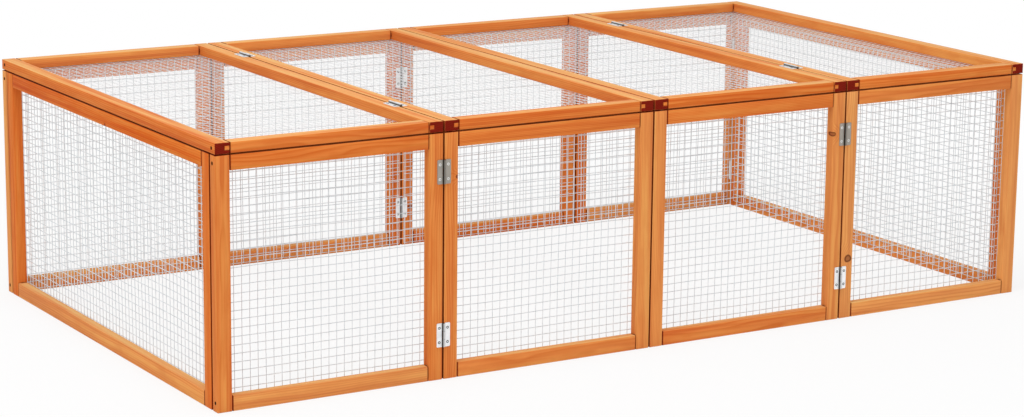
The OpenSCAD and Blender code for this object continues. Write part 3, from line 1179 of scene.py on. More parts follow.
@dataclass(frozen=True)
class WeldedNet:
    """Square net of two layers of straight wire, each sunk a little in the other at the welds.

    Args:
        pitch: from one wire to the next.
        wire: the wire's thickness.
        weld: how deep the two layers are sunk in each other.
        sides: the number of flats on a wire.
        waves: how far the wires wander in the net's plane.
        edge: how far the net stops short of the frame's edges.
        hinge_room: the air between the net and a hinge.
    """

    pitch: float = 15.6 * MM
    wire: float = 1.4 * MM
    weld: float = 0.9 * MM
    sides: int = 6
    waves: float = 1.0 * MM
    edge: float = 4 * MM
    hinge_room: float = 1.0 * MM

    def lay(
        self, reach: Patch, face: float, bulge: float, cuts: list[Patch], rng: np.random.Generator
    ) -> tuple[Shell, np.ndarray, np.ndarray]:
        """Lays the two layers of wire over a frame's inner face.

        Args:
            reach: the net's edges.
            face: the v of the boards' inner face.
            bulge: how far the middle of the net leaves its plane.
            cuts: places that the net is cut away from.
            rng: the frame's own random numbers.

        Returns:
            The wires, and the places of the upright and of the level wires.
        """
        left, right, bottom, top = reach
        radius = self.wire / 2
        columns = np.linspace(left + radius, right - radius, round((right - left) / self.pitch) + 1)
        rows = np.linspace(bottom + radius, top - radius, round((top - bottom) / self.pitch) + 1)
        pull = Pull(reach, self.waves, bulge, rng.uniform(0, 2 * math.pi, 4))
        lower, upper = face + radius, face + radius + self.wire - self.weld
        upright = self.family(columns, self.halved(rows), lower, True, pull, cuts)
        level = self.family(rows, self.halved(columns), upper, False, pull, cuts)
        return joined([upright, level]), columns, rows

    def halved(self, places: np.ndarray) -> np.ndarray:
        """The places and the middles between them."""
        return np.linspace(places[0], places[-1], 2 * len(places) - 1)

    def family(
        self, wires: np.ndarray, stations: np.ndarray, layer: float, upright: bool, pull: Pull,
        cuts: list[Patch],
    ) -> Shell:
        """One layer of wires side by side.

        Args:
            wires: the wires' places across their length.
            stations: the places along the wires where they are worked out.
            layer: the v of the wires' centres.
            upright: whether the wires run along w.
            pull: how the net is drawn out of true.
            cuts: places that the net is cut away from.

        Returns:
            The wires.
        """
        across, along = np.meshgrid(wires, stations, indexing="ij")
        u, w = (across, along) if upright else (along, across)
        shift_u, shift_v, shift_w = pull.shift(u, w)
        centres = np.stack([u + shift_u, layer + shift_v, w + shift_w], axis=-1)
        middle = (centres[:, :-1] + centres[:, 1:]) / 2
        keep = np.ones(middle.shape[:2], bool)
        for u0, u1, w0, w1 in cuts:
            inside_u = (middle[..., 0] > u0) & (middle[..., 0] < u1)
            keep &= ~(inside_u & (middle[..., 2] > w0) & (middle[..., 2] < w1))
        axes = np.eye(3)
        ring_plane = axes[:2] if upright else axes[1:]
        return tubes(centres, ring_plane, self.wire / 2, self.sides, keep)


@dataclass(frozen=True)
class Fixings:
    """The brads that pin each joint and the staples that hold the net down.

    Args:
        brad_radius: the radius of a brad's hole and head.
        brad_crown: how high the head is domed.
        staple_width: the length of a staple's crown.
        staple_wire: the thickness of its wire.
        staple_bend: the size of its bent shoulders.
        staple_spacing: from one staple to the next.
        staple_sink: how deep its legs stand in the wood.
        staple_stray: the most that one is driven off its even spacing.
        staple_turn: the most that one is turned, in radians.
        brad_stray: the most that a brad is driven off the middle of its joint.
    """

    brad_radius: float = 3.4 * MM
    brad_crown: float = 0.08 * MM
    staple_width: float = 8 * MM
    staple_wire: float = 0.8 * MM
    staple_bend: float = 0.7 * MM
    staple_spacing: float = 72 * MM
    staple_sink: float = 1.2 * MM
    staple_stray: float = 6 * MM
    staple_turn: float = 0.22
    brad_stray: float = 3 * MM

    def brad(self) -> Shell:
        """A brad's head, a low dome standing on z = 0: height falls with the square of the radius.

        Below z = 0 it goes straight down into the wood, four crowns deep.

        Returns:
            The closed head.
        """
        share = np.array([0.0, 0.45, 0.8, 1.0, 1.0, 0.0])
        heights = self.brad_crown * np.array([1.0, 0.8, 0.36, 0.0, -4.0, -4.0])
        return revolved(self.brad_radius * share, heights, sides=12)

    def staple(self, over: float) -> Shell:
        """A staple astride a wire: two legs up out of the wood, round shoulders and a level crown.

        Args:
            over: how high the crown's underside stands above the board.

        Returns:
            The bent wire, its crown along x and z up from the board.
        """
        half, radius, bend = self.staple_width / 2, self.staple_wire / 2, self.staple_bend
        crown = over + radius
        # How far a quarter circle's middle lies in from the corner of its square, beside its radius.
        cut = 0.3 * bend
        right = np.array([
            [half, 0, -self.staple_sink], [half, 0, crown - bend],
            [half - cut, 0, crown - cut], [half - bend, 0, crown],
        ])
        left = right[::-1] * [-1, 1, 1]
        return swept(np.concatenate([right, left]), radius, sides=5)

    def spaced(self, start: float, end: float) -> np.ndarray:
        """Places from start to end, as nearly as can be one staple spacing apart."""
        return np.linspace(start, end, round((end - start) / self.staple_spacing) + 1)


@dataclass(frozen=True)
class Knot:
    """A knot that shows: where its middle comes out of a board, and its size beside a usual knot."""

    at: tuple[float, float, float]
    size: float = 1.0


@dataclass(frozen=True)
class Timber:
    """How one board differs from the next.

    Args:
        pith_off: the least and greatest distance from a board's middle to its tree's pith.
        log: the length that the boards are cut from at random places.
        knot_size: the least and greatest size of a knot of chance.
        knot_chance: the share of boards that show such a knot.
        knot_room: how far outside a board the middle of a given knot may lie.
        tone_range: how golden, or how red below 0, a board is at most where no tone is given.
        lightness: how much lighter a golden board is, beside how golden it is.
        stray: how far a board's tint strays in any case.
    """

    pith_off: tuple[float, float] = (30 * MM, 75 * MM)
    log: float = 60.0
    knot_size: tuple[float, float] = (0.35, 0.8)
    knot_chance: float = 0.5
    knot_room: float = 1.0 * MM
    tone_range: float = 0.7
    lightness: float = 0.6
    stray: float = 0.2


@dataclass
class NettedFrame:
    """One netted frame of the run: two stiles, two rails, a net, its staples and its brads.

    Args:
        name: the CAD body's name.
        stance: how the frame stands.
        number: its number, which seeds its grain and the pull of its net.
        end_left: whether its left end is an end of the run, and not beside another frame.
        end_right: the same for its right end.
        inner_pins: the u of the hinge pins that lie on its netted face.
        bulge: how far its net's middle lies off its plane, away from the boards where it is above 0.
        knots: the knots that its boards show, in its u, v and w.
        clear: whether its boards show no knots but these.
        tones: how golden its two stiles, lower and upper rail are, from -1.5 for red to 1.5 for golden.
        timber: how its boards differ.
        joinery: the boards' section and joints.
        net: its net.
        fixings: its brads and staples.
    """

    name: str
    stance: Stance
    number: int
    end_left: bool = False
    end_right: bool = False
    inner_pins: tuple[float, ...] = ()
    bulge: float = -0.8 * MM
    knots: tuple[Knot, ...] = ()
    clear: bool = False
    tones: tuple[float, ...] = ()
    timber: Timber = Timber()
    joinery: Joinery = Joinery()
    net: WeldedNet = WeldedNet()
    fixings: Fixings = Fixings()

    def __post_init__(self) -> None:
        """Reads the frame's place and size from its CAD stiles."""
        self.place = Placement.of_stiles(self.name, self.stance)
        self.length, self.thickness, self.height = self.place.size
        self.rng = np.random.default_rng(FRAME_SEED + self.number)

    def knot_in(self, low: np.ndarray, high: np.ndarray, along: int) -> Knot:
        """The knot of a board: one that the frame is given, or else perhaps one of chance.

        Args:
            low: the lower corner of the board's box.
            high: its upper corner.
            along: the axis that the board runs along.

        Returns:
            The knot. A board without one has it a metre before its start.
        """
        place = low + self.rng.uniform(0, 1, 3) * (high - low)
        size = self.rng.uniform(*self.timber.knot_size)
        if self.rng.uniform() < 1 - self.timber.knot_chance or self.clear:
            place[along] = low[along] - FAR_OFF
        room = self.timber.knot_room
        given = [knot for knot in self.knots if np.all((knot.at > low - room) & (knot.at < high + room))]
        return (given + [Knot(tuple(place), size)])[0]

    def gap_marks(self, board: Shell) -> np.ndarray:
        """How far each point lies behind the frame's outer side, and from its face against lid or wall.

        On a wall the first is v and the second the height left above. On a lid the first is the
        place across the board from whichever of the roof's edges it forms, and the second the
        thickness left below. A board away from the roof's edges is a metre off.

        Args:
            board: the board in the frame's coordinates.

        Returns:
            The two distances and a zero, one row for each point.
        """
        u, v, w = board.points.T
        middle = board.points.mean(axis=0)
        if self.stance is not Stance.ROOF:
            behind, off = v, self.height - w
        else:
            off = self.thickness - v
            behind = np.full_like(u, FAR_OFF)
            if middle[2] < self.joinery.board_width:
                behind = w
            elif middle[2] > self.height - self.joinery.board_width:
                behind = self.height - w
            elif self.end_left and middle[0] < self.joinery.board_width:
                behind = u
            elif self.end_right and middle[0] > self.length - self.joinery.board_width:
                behind = self.length - u
        return np.column_stack([behind, off, np.zeros_like(u)])

    def tint_of(self, board: int) -> np.ndarray:
        """How light and how golden a board is, by its given tone or at random, and a little astray.

        Args:
            board: 0 or 1 for the left or right stile, 2 or 3 for the lower or upper rail.

        Returns:
            The two values, lightness first.
        """
        most, stray = self.timber.tone_range, self.timber.stray
        tone = self.tones[board] if self.tones else self.rng.uniform(-most, most)
        return np.array([self.timber.lightness * tone, tone]) + self.rng.uniform(-stray, stray, 2)

    def grained(
        self, board: Shell, number: int, along: int, shoulders: tuple[float, float], beside: np.ndarray
    ) -> Shell:
        """Marks a board with where each point lies in its own piece of timber.

        The grain vector is the place along the board, from a random start, then the two places
        across it measured from a pith that lies off in a random direction.

        Args:
            board: the board in the frame's coordinates.
            number: 0 or 1 for the left or right stile, 2 or 3 for the lower or upper rail.
            along: 0 for a board along u and 2 for one along w.
            shoulders: where the board's two shoulders lie along its length.
            beside: the direction in which another frame lies close by, or zero.

        Returns:
            The board with its grain, knot, tint, span, gap, axis and edge.
        """
        low, high = board.points.min(axis=0), board.points.max(axis=0)
        direction = self.rng.uniform(0, 2 * math.pi)
        distance = self.rng.uniform(*self.timber.pith_off)
        pith = np.insert(distance * np.array([math.cos(direction), math.sin(direction)]), along, 0.0)
        start = (low + high) / 2 - pith
        start[along] = -self.rng.uniform(0, self.timber.log)
        order = [along] + [axis for axis in range(3) if axis != along]
        knot = self.knot_in(low, high, along)
        run = board.points[:, along] - shoulders[0]
        return board.marked(
            grain=(board.points - start)[:, order],
            knot=(np.array(knot.at) - start)[order],
            tint=np.array([*self.tint_of(number), knot.size]),
            span=np.column_stack([run, np.full_like(run, shoulders[1] - shoulders[0]), np.zeros_like(run)]),
            gap=self.gap_marks(board),
            axis=np.eye(3)[along],
            edge=beside,
        )

    def build_stiles(self, finish: Finish) -> None:
        """Makes the two stiles, the right one mirrored so that its slots face the left.

        Args:
            finish: the stiles' finish.
        """
        left = self.joinery.stile(self.height, self.thickness)
        right = left.turned(np.diag([-1.0, 1.0, 1.0])).moved(np.array([self.length, 0, 0]))
        outward = np.array([1.0, 0.0, 0.0])
        # The edge marks point to a neighbouring frame, for the painted shade on the face that looks at it.
        pair = [
            self.grained(left, 0, 2, NO_SHOULDERS, -outward * (not self.end_left)),
            self.grained(right, 1, 2, NO_SHOULDERS, outward * (not self.end_right)),
        ]
        shell = self.place.carried(joined(pair))
        make_piece(f"{self.name}_stile_boards", shell, finish, self.name, f"{self.name}_stiles")

    def build_rails(self, finish: Finish) -> None:
        """Makes the two rails, each set back by its own fraction of a millimetre.

        Args:
            finish: the rails' finish.
        """
        pair = []
        shoulder = self.joinery.board_width + self.joinery.shoulder_gap
        for number, level in ((2, 0.0), (3, self.height - self.joinery.board_width)):
            set_back = self.rng.uniform(self.joinery.least_set_back, 1.0) * self.joinery.rail_set_back
            board = self.joinery.rail(self.length, self.thickness, set_back).moved(np.array([0, 0, level]))
            pair.append(self.grained(board, number, 0, (shoulder, self.length - shoulder), np.zeros(3)))
        shell = self.place.carried(joined(pair))
        make_piece(f"{self.name}_rail_boards", shell, finish, self.name, f"{self.name}_rails")

    def build_net(self, wire: Finish, staple: Finish, hinge: "ButtHinge", inset: float) -> None:
        """Makes the net and the staples that hold it, cut back round the hinges on its face.

        Args:
            wire: the net's finish.
            staple: the staples' finish.
            hinge: the hinges' sizes.
            inset: how far the hinges' middles lie from the frame's ends.
        """
        edge, room = self.net.edge, self.net.hinge_room
        corner = self.thickness + 2 * hinge.pin_stand + room
        in_wall = self.stance in (Stance.FRONT, Stance.BACK)
        left = corner if in_wall and self.end_left else edge
        right = self.length - (corner if in_wall and self.end_right else edge)
        aside, half = hinge.leaf_width + room, hinge.height / 2 + room
        middles = (inset, self.height - inset)
        cuts = [(pin - aside, pin + aside, w - half, w + half) for pin in self.inner_pins for w in middles]
        face = self.thickness - self.joinery.planed_off
        reach = (left, right, edge, self.height - edge)
        shell, columns, rows = self.net.lay(reach, face, self.bulge, cuts, self.rng)
        make_piece(f"{self.name}_wire_net", self.place.carried(shell), wire, self.name, f"{self.name}_net")
        self.build_staples(staple, columns, rows, cuts)

    def build_staples(self, finish: Finish, columns: np.ndarray, rows: np.ndarray, cuts: list[Patch]) -> None:
        """Drives a staple astride an upright wire every so often along the four boards.

        Args:
            finish: the staples' finish.
            columns: the u of the upright wires.
            rows: the w of the level wires.
            cuts: places that the net is cut away from.
        """
        centre = self.joinery.board_width / 2
        ups = self.fixings.spaced(centre, self.height - centre)
        alongs = self.fixings.spaced(centre, self.length - centre)[1:-1]
        ends = np.array([max(centre, columns[0]), min(self.length - centre, columns[-1])])
        on_stiles = np.stack(np.meshgrid(ends, ups), axis=-1).reshape(-1, 2)
        on_rails = np.stack(np.meshgrid(alongs, [centre, self.height - centre]), axis=-1).reshape(-1, 2)
        wanted = np.concatenate([on_stiles, on_rails])
        stray = self.fixings.staple_stray
        wanted[:, 1] += self.rng.uniform(-stray, stray, len(wanted))
        u = columns[np.abs(columns[None, :] - wanted[:, :1]).argmin(axis=1)]
        middles = (rows[1:] + rows[:-1]) / 2
        w = middles[np.abs(middles[None, :] - wanted[:, 1:]).argmin(axis=1)]
        clear = np.ones(len(u), bool)
        room = self.fixings.staple_width
        for u0, u1, w0, w1 in cuts:
            clear &= ~((u > u0 - room) & (u < u1 + room) & (w > w0 - room) & (w < w1 + room))
        places = np.column_stack([u, w, np.zeros_like(u)])[clear]
        turn = self.fixings.staple_turn
        turns = self.rng.uniform(-turn, turn, len(places))
        flat = copied(self.fixings.staple(self.net.wire), places, turns)
        face = np.array([0, self.thickness - self.joinery.planed_off, 0])
        standing = flat.turned(STANDING).moved(face)
        make_piece(f"{self.name}_staples", self.place.carried(standing), finish, self.name)

    def build_brads(self, finish: Finish) -> None:
        """Makes the heads of the brads in the stiles' outer edges, one through each tenon.

        Args:
            finish: the brads' finish.
        """
        middle, half = self.thickness / 2, self.joinery.board_width / 2
        levels = np.array([half, self.height - half])
        head, stray = self.fixings.brad(), self.fixings.brad_stray
        heads = []
        for outward, edge in ((-1.0, self.joinery.planed_off), (1.0, self.length - self.joinery.planed_off)):
            shifts = self.rng.uniform(-stray, stray, 2)
            spots = np.column_stack([levels + shifts, middle + shifts[::-1] / 2, np.zeros(2)])
            facing = copied(head, spots, np.zeros(2))
            rows = np.array([[0, 0, 1.0], [0, 1.0, 0], [outward, 0, 0]])
            heads.append(facing.turned(rows).moved(np.array([edge, 0, 0])))
        make_piece(f"{self.name}_brad_heads", self.place.carried(joined(heads)), finish, self.name)


# ---------------------------------------------------------------- hinges


@dataclass(frozen=True)
class ScrewHead:
    """A screw's head: a shallow crown with a cross recess, on a face at z = 0.

    Args:
        radius: its radius.
        crown: how high it is domed.
        lift: how far its rim stands above the face.
        skirt: how far it reaches down behind the face.
        recess: how deep the cross is.
        arm: half the width of the cross's arms.
        reach: how far the arms reach, beside the radius.
        slope: the width of the cross's sloping sides.
        sides: the number of flats round the rim.
    """

    radius: float = 2.7 * MM
    crown: float = 0.45 * MM
    lift: float = 0.05 * MM
    skirt: float = 0.3 * MM
    recess: float = 0.9 * MM
    arm: float = 0.55 * MM
    reach: float = 0.62
    slope: float = 0.2 * MM
    sides: int = 24

    def shell(self) -> Shell:
        """The head, on a grid of radius and angle.

        Its height is a crown that falls with the square of the radius, less a recess whose depth
        is full where either of the point's two places on the cross is small and the radius is
        inside the recess.

        Returns:
            The closed head.
        """
        share = np.array([0.10, 0.22, 0.36, 0.50, 0.64, 0.80, 1.0])[:, None]
        angle, radius = ring_angles(self.sides), self.radius * share
        x, y = radius * np.cos(angle), radius * np.sin(angle)
        slot = np.clip((self.arm - np.minimum(np.abs(x), np.abs(y))) / self.slope, 0, 1)
        inside = np.clip((self.reach * self.radius - radius) / self.slope, 0, 1)
        z = self.crown * (1 - share**2) - self.recess * slot * inside + self.lift
        rim = np.stack([x[-1], y[-1], np.full(self.sides, -self.skirt)], axis=-1)
        rings = np.concatenate([np.stack([x, y, z], axis=-1), rim[None]])
        return closed_rings(rings, self.crown + self.lift - self.recess, -self.skirt)


@dataclass(frozen=True)
class ButtHinge:
    """A pressed butt hinge, its pin along z through the origin and its leaf out along x.

    The board that the leaf lies on is at y = -pin_stand.

    Args:
        height: the hinge's height.
        leaf_width: from the pin to the leaf's outer edge.
        leaf: the leaf's thickness.
        knuckle: the knuckles' diameter.
        knuckle_gap: the air between knuckles, and between a knuckle and the other leaf.
        stand: the air between the knuckles and the board.
        pin: the pin's diameter.
        pin_dome: how far the pin's ends are domed.
        corner: the radius of the leaf's outer corners.
        screw: a screw's head.
        screw_in: from the pin to a screw.
        screw_height: from the hinge's middle to a screw.
        knuckles: the number of knuckles.
        end_trim: how much the outer knuckles stop short of the leaf's ends.
        under_pin: how far past the pin the roll starts under it, beside the knuckles' radius.
    """

    height: float = 45 * MM
    leaf_width: float = 14 * MM
    leaf: float = 1.2 * MM
    knuckle: float = 5 * MM
    knuckle_gap: float = 0.4 * MM
    stand: float = 0.3 * MM
    pin: float = 2.6 * MM
    pin_dome: float = 0.5 * MM
    corner: float = 2.2 * MM
    screw: ScrewHead = ScrewHead()
    screw_in: float = 8.6 * MM
    screw_height: float = 13.5 * MM
    knuckles: int = 3
    end_trim: float = 0.35 * MM
    under_pin: float = 0.2

    @property
    def pin_stand(self) -> float:
        """Distance from the pin to the board."""
        return self.knuckle / 2 + self.stand

    def plate(self) -> Shell:
        """The leaf's flat: a rectangle with its two outer corners rounded, carried through its gauge.

        Returns:
            The flat, lying on the board.
        """
        start, end, half = self.knuckle / 2 + self.knuckle_gap, self.leaf_width, self.height / 2
        angle = np.linspace(0, math.pi / 2, 6)
        arc = np.column_stack([np.sin(angle), 1 - np.cos(angle)]) * self.corner
        lower = np.array([end - self.corner, -half]) + arc
        upper = (lower * [1, -1])[::-1]
        outline = np.concatenate([[[start, half], [start, -half]], lower, upper])
        flat = extruded(outline, 0.0, self.leaf)
        return flat.turned(STANDING).moved(np.array([0, -self.pin_stand, 0]))

    def roll(self, low: float, high: float) -> Shell:
        """One knuckle: the leaf's gauge run in along the board and rolled up round the pin.

        The outline follows the back of the leaf to under the pin, then the outside of the roll
        over the top and down to the leaf's face.

        Args:
            low: where the knuckle starts along the pin.
            high: where it ends.

        Returns:
            The closed knuckle.
        """
        radius, start = self.knuckle / 2, self.knuckle / 2 + self.knuckle_gap
        face = self.leaf - self.pin_stand
        meets = math.asin(face / radius)
        angle = np.linspace(meets, 1.5 * math.pi, 22)
        arc = radius * np.column_stack([np.cos(angle), np.sin(angle)])
        board = -self.pin_stand
        back = np.array([[-self.under_pin * radius, board], [start, board], [start, face]])
        return extruded(np.concatenate([arc[:-1], back]), low, high)

    def half(self, with_pin: bool) -> Shell:
        """A leaf with every other knuckle, the outer ones where it also holds the pin.

        Its relief mark is each point's own place: x out from the pin and y out from the board.

        Args:
            with_pin: whether this half holds the pin.

        Returns:
            The marked half.
        """
        step = (self.height + self.knuckle_gap) / self.knuckles
        chosen = range(0 if with_pin else 1, self.knuckles, 2)
        shells = [self.plate()]
        for k in chosen:
            low = -self.height / 2 + k * step
            high = low + step - self.knuckle_gap
            low += self.end_trim if k == 0 else 0.0
            high -= self.end_trim if k == self.knuckles - 1 else 0.0
            shells.append(self.roll(low, high))
        if with_pin:
            shells.append(self.pin_shell())
        half = joined(shells)
        return half.marked(relief=half.points)

    def pin_shell(self) -> Shell:
        """The pin, with ends domed by a quarter of an ellipse.

        Returns:
            The closed pin.
        """
        angle = np.linspace(0, math.pi / 2, 5)
        radii = self.pin / 2 * np.sin(angle)
        heights = self.height / 2 - self.pin_dome * (1 - np.cos(angle))
        both_ends = np.concatenate([heights, -heights[::-1]])
        return revolved(np.concatenate([radii, radii[::-1]]), both_ends, sides=16)

    def screws(self, turns: np.ndarray) -> Shell:
        """The two screws of a leaf, each with its cross turned by an angle of its own.

        Args:
            turns: the angle of each screw's cross.

        Returns:
            Both screws, standing on the leaf's face.
        """
        spots = np.array([[self.screw_in, side * self.screw_height, 0] for side in (-1, 1)])
        flat = copied(self.screw.shell(), spots, turns)
        screws = flat.turned(STANDING).moved(np.array([0, self.leaf - self.pin_stand, 0]))
        return screws.marked(relief=screws.points)


@dataclass(frozen=True)
class Leaf:
    """Where half a hinge sits.

    Args:
        body: the frame that it is screwed to.
        pin_at: the middle of its pin.
        reach: the way that it reaches from the pin.
        off_board: the way from the board to the pin.
        with_pin: whether it holds the pin.
        wear: how dull its coat has gone, from 0 to 1.
        clean: how much of the painted knuckle shade it is spared, from 0 to 1.
    """

    body: str
    pin_at: Vector3
    reach: Vector3
    off_board: Vector3
    with_pin: bool
    wear: float
    clean: float

    def carried(self, shell: Shell) -> Shell:
        """A shell from the hinge's own coordinates in the run's.

        Args:
            shell: part of the hinge, its pin along z and its leaf out along x.

        Returns:
            The same part where the hinge sits.
        """
        reach, off_board = np.array(self.reach, float), np.array(self.off_board, float)
        along = np.abs(np.cross(reach, off_board))
        return shell.turned(np.array([reach, off_board, along])).moved(np.array(self.pin_at))


@dataclass
class HingeSet:
    """All the hinges of the run, sorted by the frame that each half is screwed to."""

    hinge: ButtHinge
    leaves: list[Leaf] = field(default_factory=list)

    def add_pair(
        self, bodies: tuple[str, str], pin_at: Vector3, reaches: tuple[Vector3, Vector3],
        off_boards: tuple[Vector3, Vector3], wear: float = 0.0, clean: float = 0.0,
    ) -> None:
        """Adds both halves of one hinge.

        Args:
            bodies: the two frames; the first one's half keeps the pin.
            pin_at: the middle of the pin.
            reaches: the way that each half reaches.
            off_boards: for each half, the way from the board to the pin.
            wear: how dull the coat has gone.
            clean: how much of the painted knuckle shade it is spared.
        """
        for body, reach, off_board, with_pin in zip(bodies, reaches, off_boards, (True, False)):
            self.leaves.append(Leaf(body, pin_at, reach, off_board, with_pin, wear, clean))

    def build(self, leaf_finish: Finish, screw_finish: Finish) -> None:
        """Makes the leaves, pins and screws of each frame as two pieces.

        The screws go the other way from their leaves: dark on a fresh leaf, bright on a dull one.

        Args:
            leaf_finish: the finish of the leaves and pins.
            screw_finish: the finish of the screws.
        """
        rng = np.random.default_rng(SCREW_SEED)
        for body in dict.fromkeys(leaf.body for leaf in self.leaves):
            metal, heads = [], []
            for leaf in (leaf for leaf in self.leaves if leaf.body == body):
                half = leaf.carried(self.hinge.half(leaf.with_pin))
                pair = leaf.carried(self.hinge.screws(rng.uniform(0, math.pi, 2)))
                # The wear mark's y spares the leaf part of its painted knuckle shade.
                metal.append(half.marked(wear=np.array([leaf.wear, leaf.clean, 0])))
                heads.append(pair.marked(wear=np.array([1 - leaf.wear, 0, 0])))
            make_piece(f"{body}_hinge_leaves", joined(metal), leaf_finish, body, f"{body}_hinges")
            make_piece(f"{body}_hinge_screws", joined(heads), screw_finish, body)


# ---------------------------------------------------------------- the run


@dataclass
class RabbitRun:
    """The whole run: two long walls of four frames, two ends between them and four lids on top.

    Args:
        hinge: the hinges' sizes.
        wall_inset: how far the walls' hinges lie from the ends of the stiles.
        first_hinge_up: how much higher the upper hinge of the front wall's first seam sits.
        lid_inset: how far the lids' hinges lie from the ends of the stiles.
        end_net: the ends' net.
        lid_net: the lids' net, of thinner wire, because the walls fold close under it.
        dull: how dull the upper hinges on the outside of the front wall have gone.
        corner_shade_cut: how much of the painted knuckle shade the closed hinges in the corners are spared.
        lid_tones: the tones of a lid that isn't given its own.
        panels: how many frames there are in a wall.
    """

    hinge: ButtHinge = ButtHinge()
    wall_inset: float = 84 * MM
    first_hinge_up: float = 13 * MM
    lid_inset: float = 182 * MM
    end_net: WeldedNet = WeldedNet(edge=12 * MM)
    lid_net: WeldedNet = WeldedNet(edge=10 * MM, wire=0.9 * MM, weld=0.2 * MM)
    dull: float = 0.85
    corner_shade_cut: float = 0.8
    lid_tones: tuple[float, ...] = (0.0, -0.2, -0.7, 0.0)
    panels: int = 4

    def seam(self, k: int) -> float:
        """The x of the middle of the seam to the right of frame k."""
        return (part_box(f"front_{k}_stiles")[1].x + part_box(f"front_{k + 1}_stiles")[0].x) / 2

    def knots(self) -> dict[str, tuple[Knot, ...]]:
        """The knots that catch the eye on the front and back walls, by frame.

        Returns:
            For each frame's name, its knots.
        """
        return {
            "front_2": (Knot((27 * MM, 0.0, 375 * MM), 0.7),),
            "front_3": (Knot((423 * MM, 2 * MM, 376 * MM), 0.9),),
            "front_4": (Knot((17 * MM, 0.0, 121 * MM), 1.5),),
            "back_3": (Knot((20 * MM, 20 * MM, 84 * MM), 0.9),),
        }

    def tones(self) -> dict[str, tuple[float, ...]]:
        """How golden the boards of the nearest frames are: both stiles, the lower and the upper rail.

        Returns:
            For each frame's name, the tones of its four boards.
        """
        # Besides each board's own colour, most upper rails are set redder and darker than the lower rails:
        # painted shade up high and painted floor light low down.
        return {
            "front_1": (-0.2, -0.3, 1.0, -0.9),
            "front_2": (-0.2, 0.6, -0.1, -0.7),
            "front_3": (0.7, 0.7, -0.3, -0.5),
            "front_4": (1.5, 1.4, 1.2, -0.1),
            "back_1": (1.2, 0.0, 0.2, 0.0),
            "left_end": (-0.7, -0.9, 0.9, -1.5),
            "lid_1": (-0.7, -0.2, -0.4, 0.3),
        }

    def frames(self) -> list[NettedFrame]:
        """The fourteen frames, with the hinge pins that lie on their netted faces.

        Returns:
            The frames: front, back, left end, right end, lids.
        """
        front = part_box("front_1_stiles")
        half_gap = (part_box("front_2_stiles")[0].x - front[1].x) / 2
        inner_pins = {2: (front[1].x - front[0].x + half_gap,), 3: (-half_gap,)}
        knots, tones = self.knots(), self.tones()
        frames = []
        for side, stance in (("front", Stance.FRONT), ("back", Stance.BACK)):
            for i in range(1, self.panels + 1):
                name = f"{side}_{i}"
                ends = (i == 1, i == self.panels)
                pins = inner_pins.get(i, ())
                frames.append(NettedFrame(
                    name, stance, len(frames), *ends, inner_pins=pins, knots=knots.get(name, ()),
                    clear=side == "front", tones=tones.get(name, ()),
                ))
        for name, stance in (("left_end", Stance.LEFT_END), ("right_end", Stance.RIGHT_END)):
            frames.append(NettedFrame(name, stance, len(frames), net=self.end_net, tones=tones.get(name, ())))
        for i in range(1, self.panels + 1):
            name, ends = f"lid_{i}", (i == 1, i == self.panels)
            frames.append(NettedFrame(
                name, Stance.ROOF, len(frames), *ends, clear=True, net=self.lid_net,
                tones=tones.get(name, self.lid_tones),
            ))
        return frames

    def wall_hinges(self) -> HingeSet:
        """The walls' hinges: closed in the corners, and open flat on the seams.

        Returns:
            The hinges with all their leaves.
        """
        hinges = HingeSet(self.hinge)
        for facing, side in ((-1, "front"), (1, "back")):
            self.add_corner_hinges(hinges, side, facing)
            self.add_seam_hinges(hinges, side, facing)
        return hinges

    def lid_hinges(self) -> HingeSet:
        """The hinges on top of each pair of lids, open flat.

        Returns:
            The hinges with all their leaves.
        """
        hinges = HingeSet(self.hinge)
        stand = self.hinge.pin_stand
        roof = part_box("lid_1_stiles")
        for k in range(1, self.panels, 2):
            for y in (roof[0].y + self.lid_inset, roof[1].y - self.lid_inset):
                pin_at = (self.seam(k), y, roof[1].z + stand)
                ways, up = ((-1, 0, 0), (1, 0, 0)), (0, 0, 1)
                hinges.add_pair((f"lid_{k}", f"lid_{k + 1}"), pin_at, ways, (up, up))
        return hinges

    def add_corner_hinges(self, hinges: HingeSet, side: str, facing: int) -> None:
        """Adds the closed hinges of a long wall's two corners, between its inner face and the ends.

        Args:
            hinges: where they are added.
            side: the wall, front or back.
            facing: the sign of y on the wall's outer side.
        """
        stand = self.hinge.pin_stand
        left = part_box("left_end_stiles")
        corner_x, corner_y = -left[1].x - stand, left[1].y + stand
        for z in (self.wall_inset, left[1].z - self.wall_inset):
            for end, wall, sign in (("left_end", 1, -1), ("right_end", self.panels, 1)):
                pin_at = (sign * corner_x, facing * corner_y, z)
                outward = (sign, 0, 0)
                faces = ((0, facing, 0), (0, -facing, 0))
                hinges.add_pair(
                    (end, f"{side}_{wall}"), pin_at, (outward, outward), faces, clean=self.corner_shade_cut
                )

    def add_seam_hinges(self, hinges: HingeSet, side: str, facing: int) -> None:
        """Adds the open hinges of a long wall's seams, outside and inside in turn.

        Args:
            hinges: where they are added.
            side: the wall, front or back.
            facing: the sign of y on the wall's outer side.
        """
        stand = self.hinge.pin_stand
        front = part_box("front_1_stiles")
        outer, inner, top = -front[0].y + stand, -front[1].y - stand, front[1].z
        for k in range(1, self.panels):
            outside = k % 2 == 1
            y = facing * (outer if outside else inner)
            off = (0, facing if outside else -facing, 0)
            first_front = side == "front" and k == 1
            high = top - self.wall_inset + (self.first_hinge_up if first_front else 0.0)
            dull = self.dull if side == "front" and outside else 0.0
            for z, wear in ((self.wall_inset, 0.0), (high, dull)):
                pair = (f"{side}_{k}", f"{side}_{k + 1}")
                hinges.add_pair(pair, (self.seam(k), y, z), ((-1, 0, 0), (1, 0, 0)), (off, off), wear)

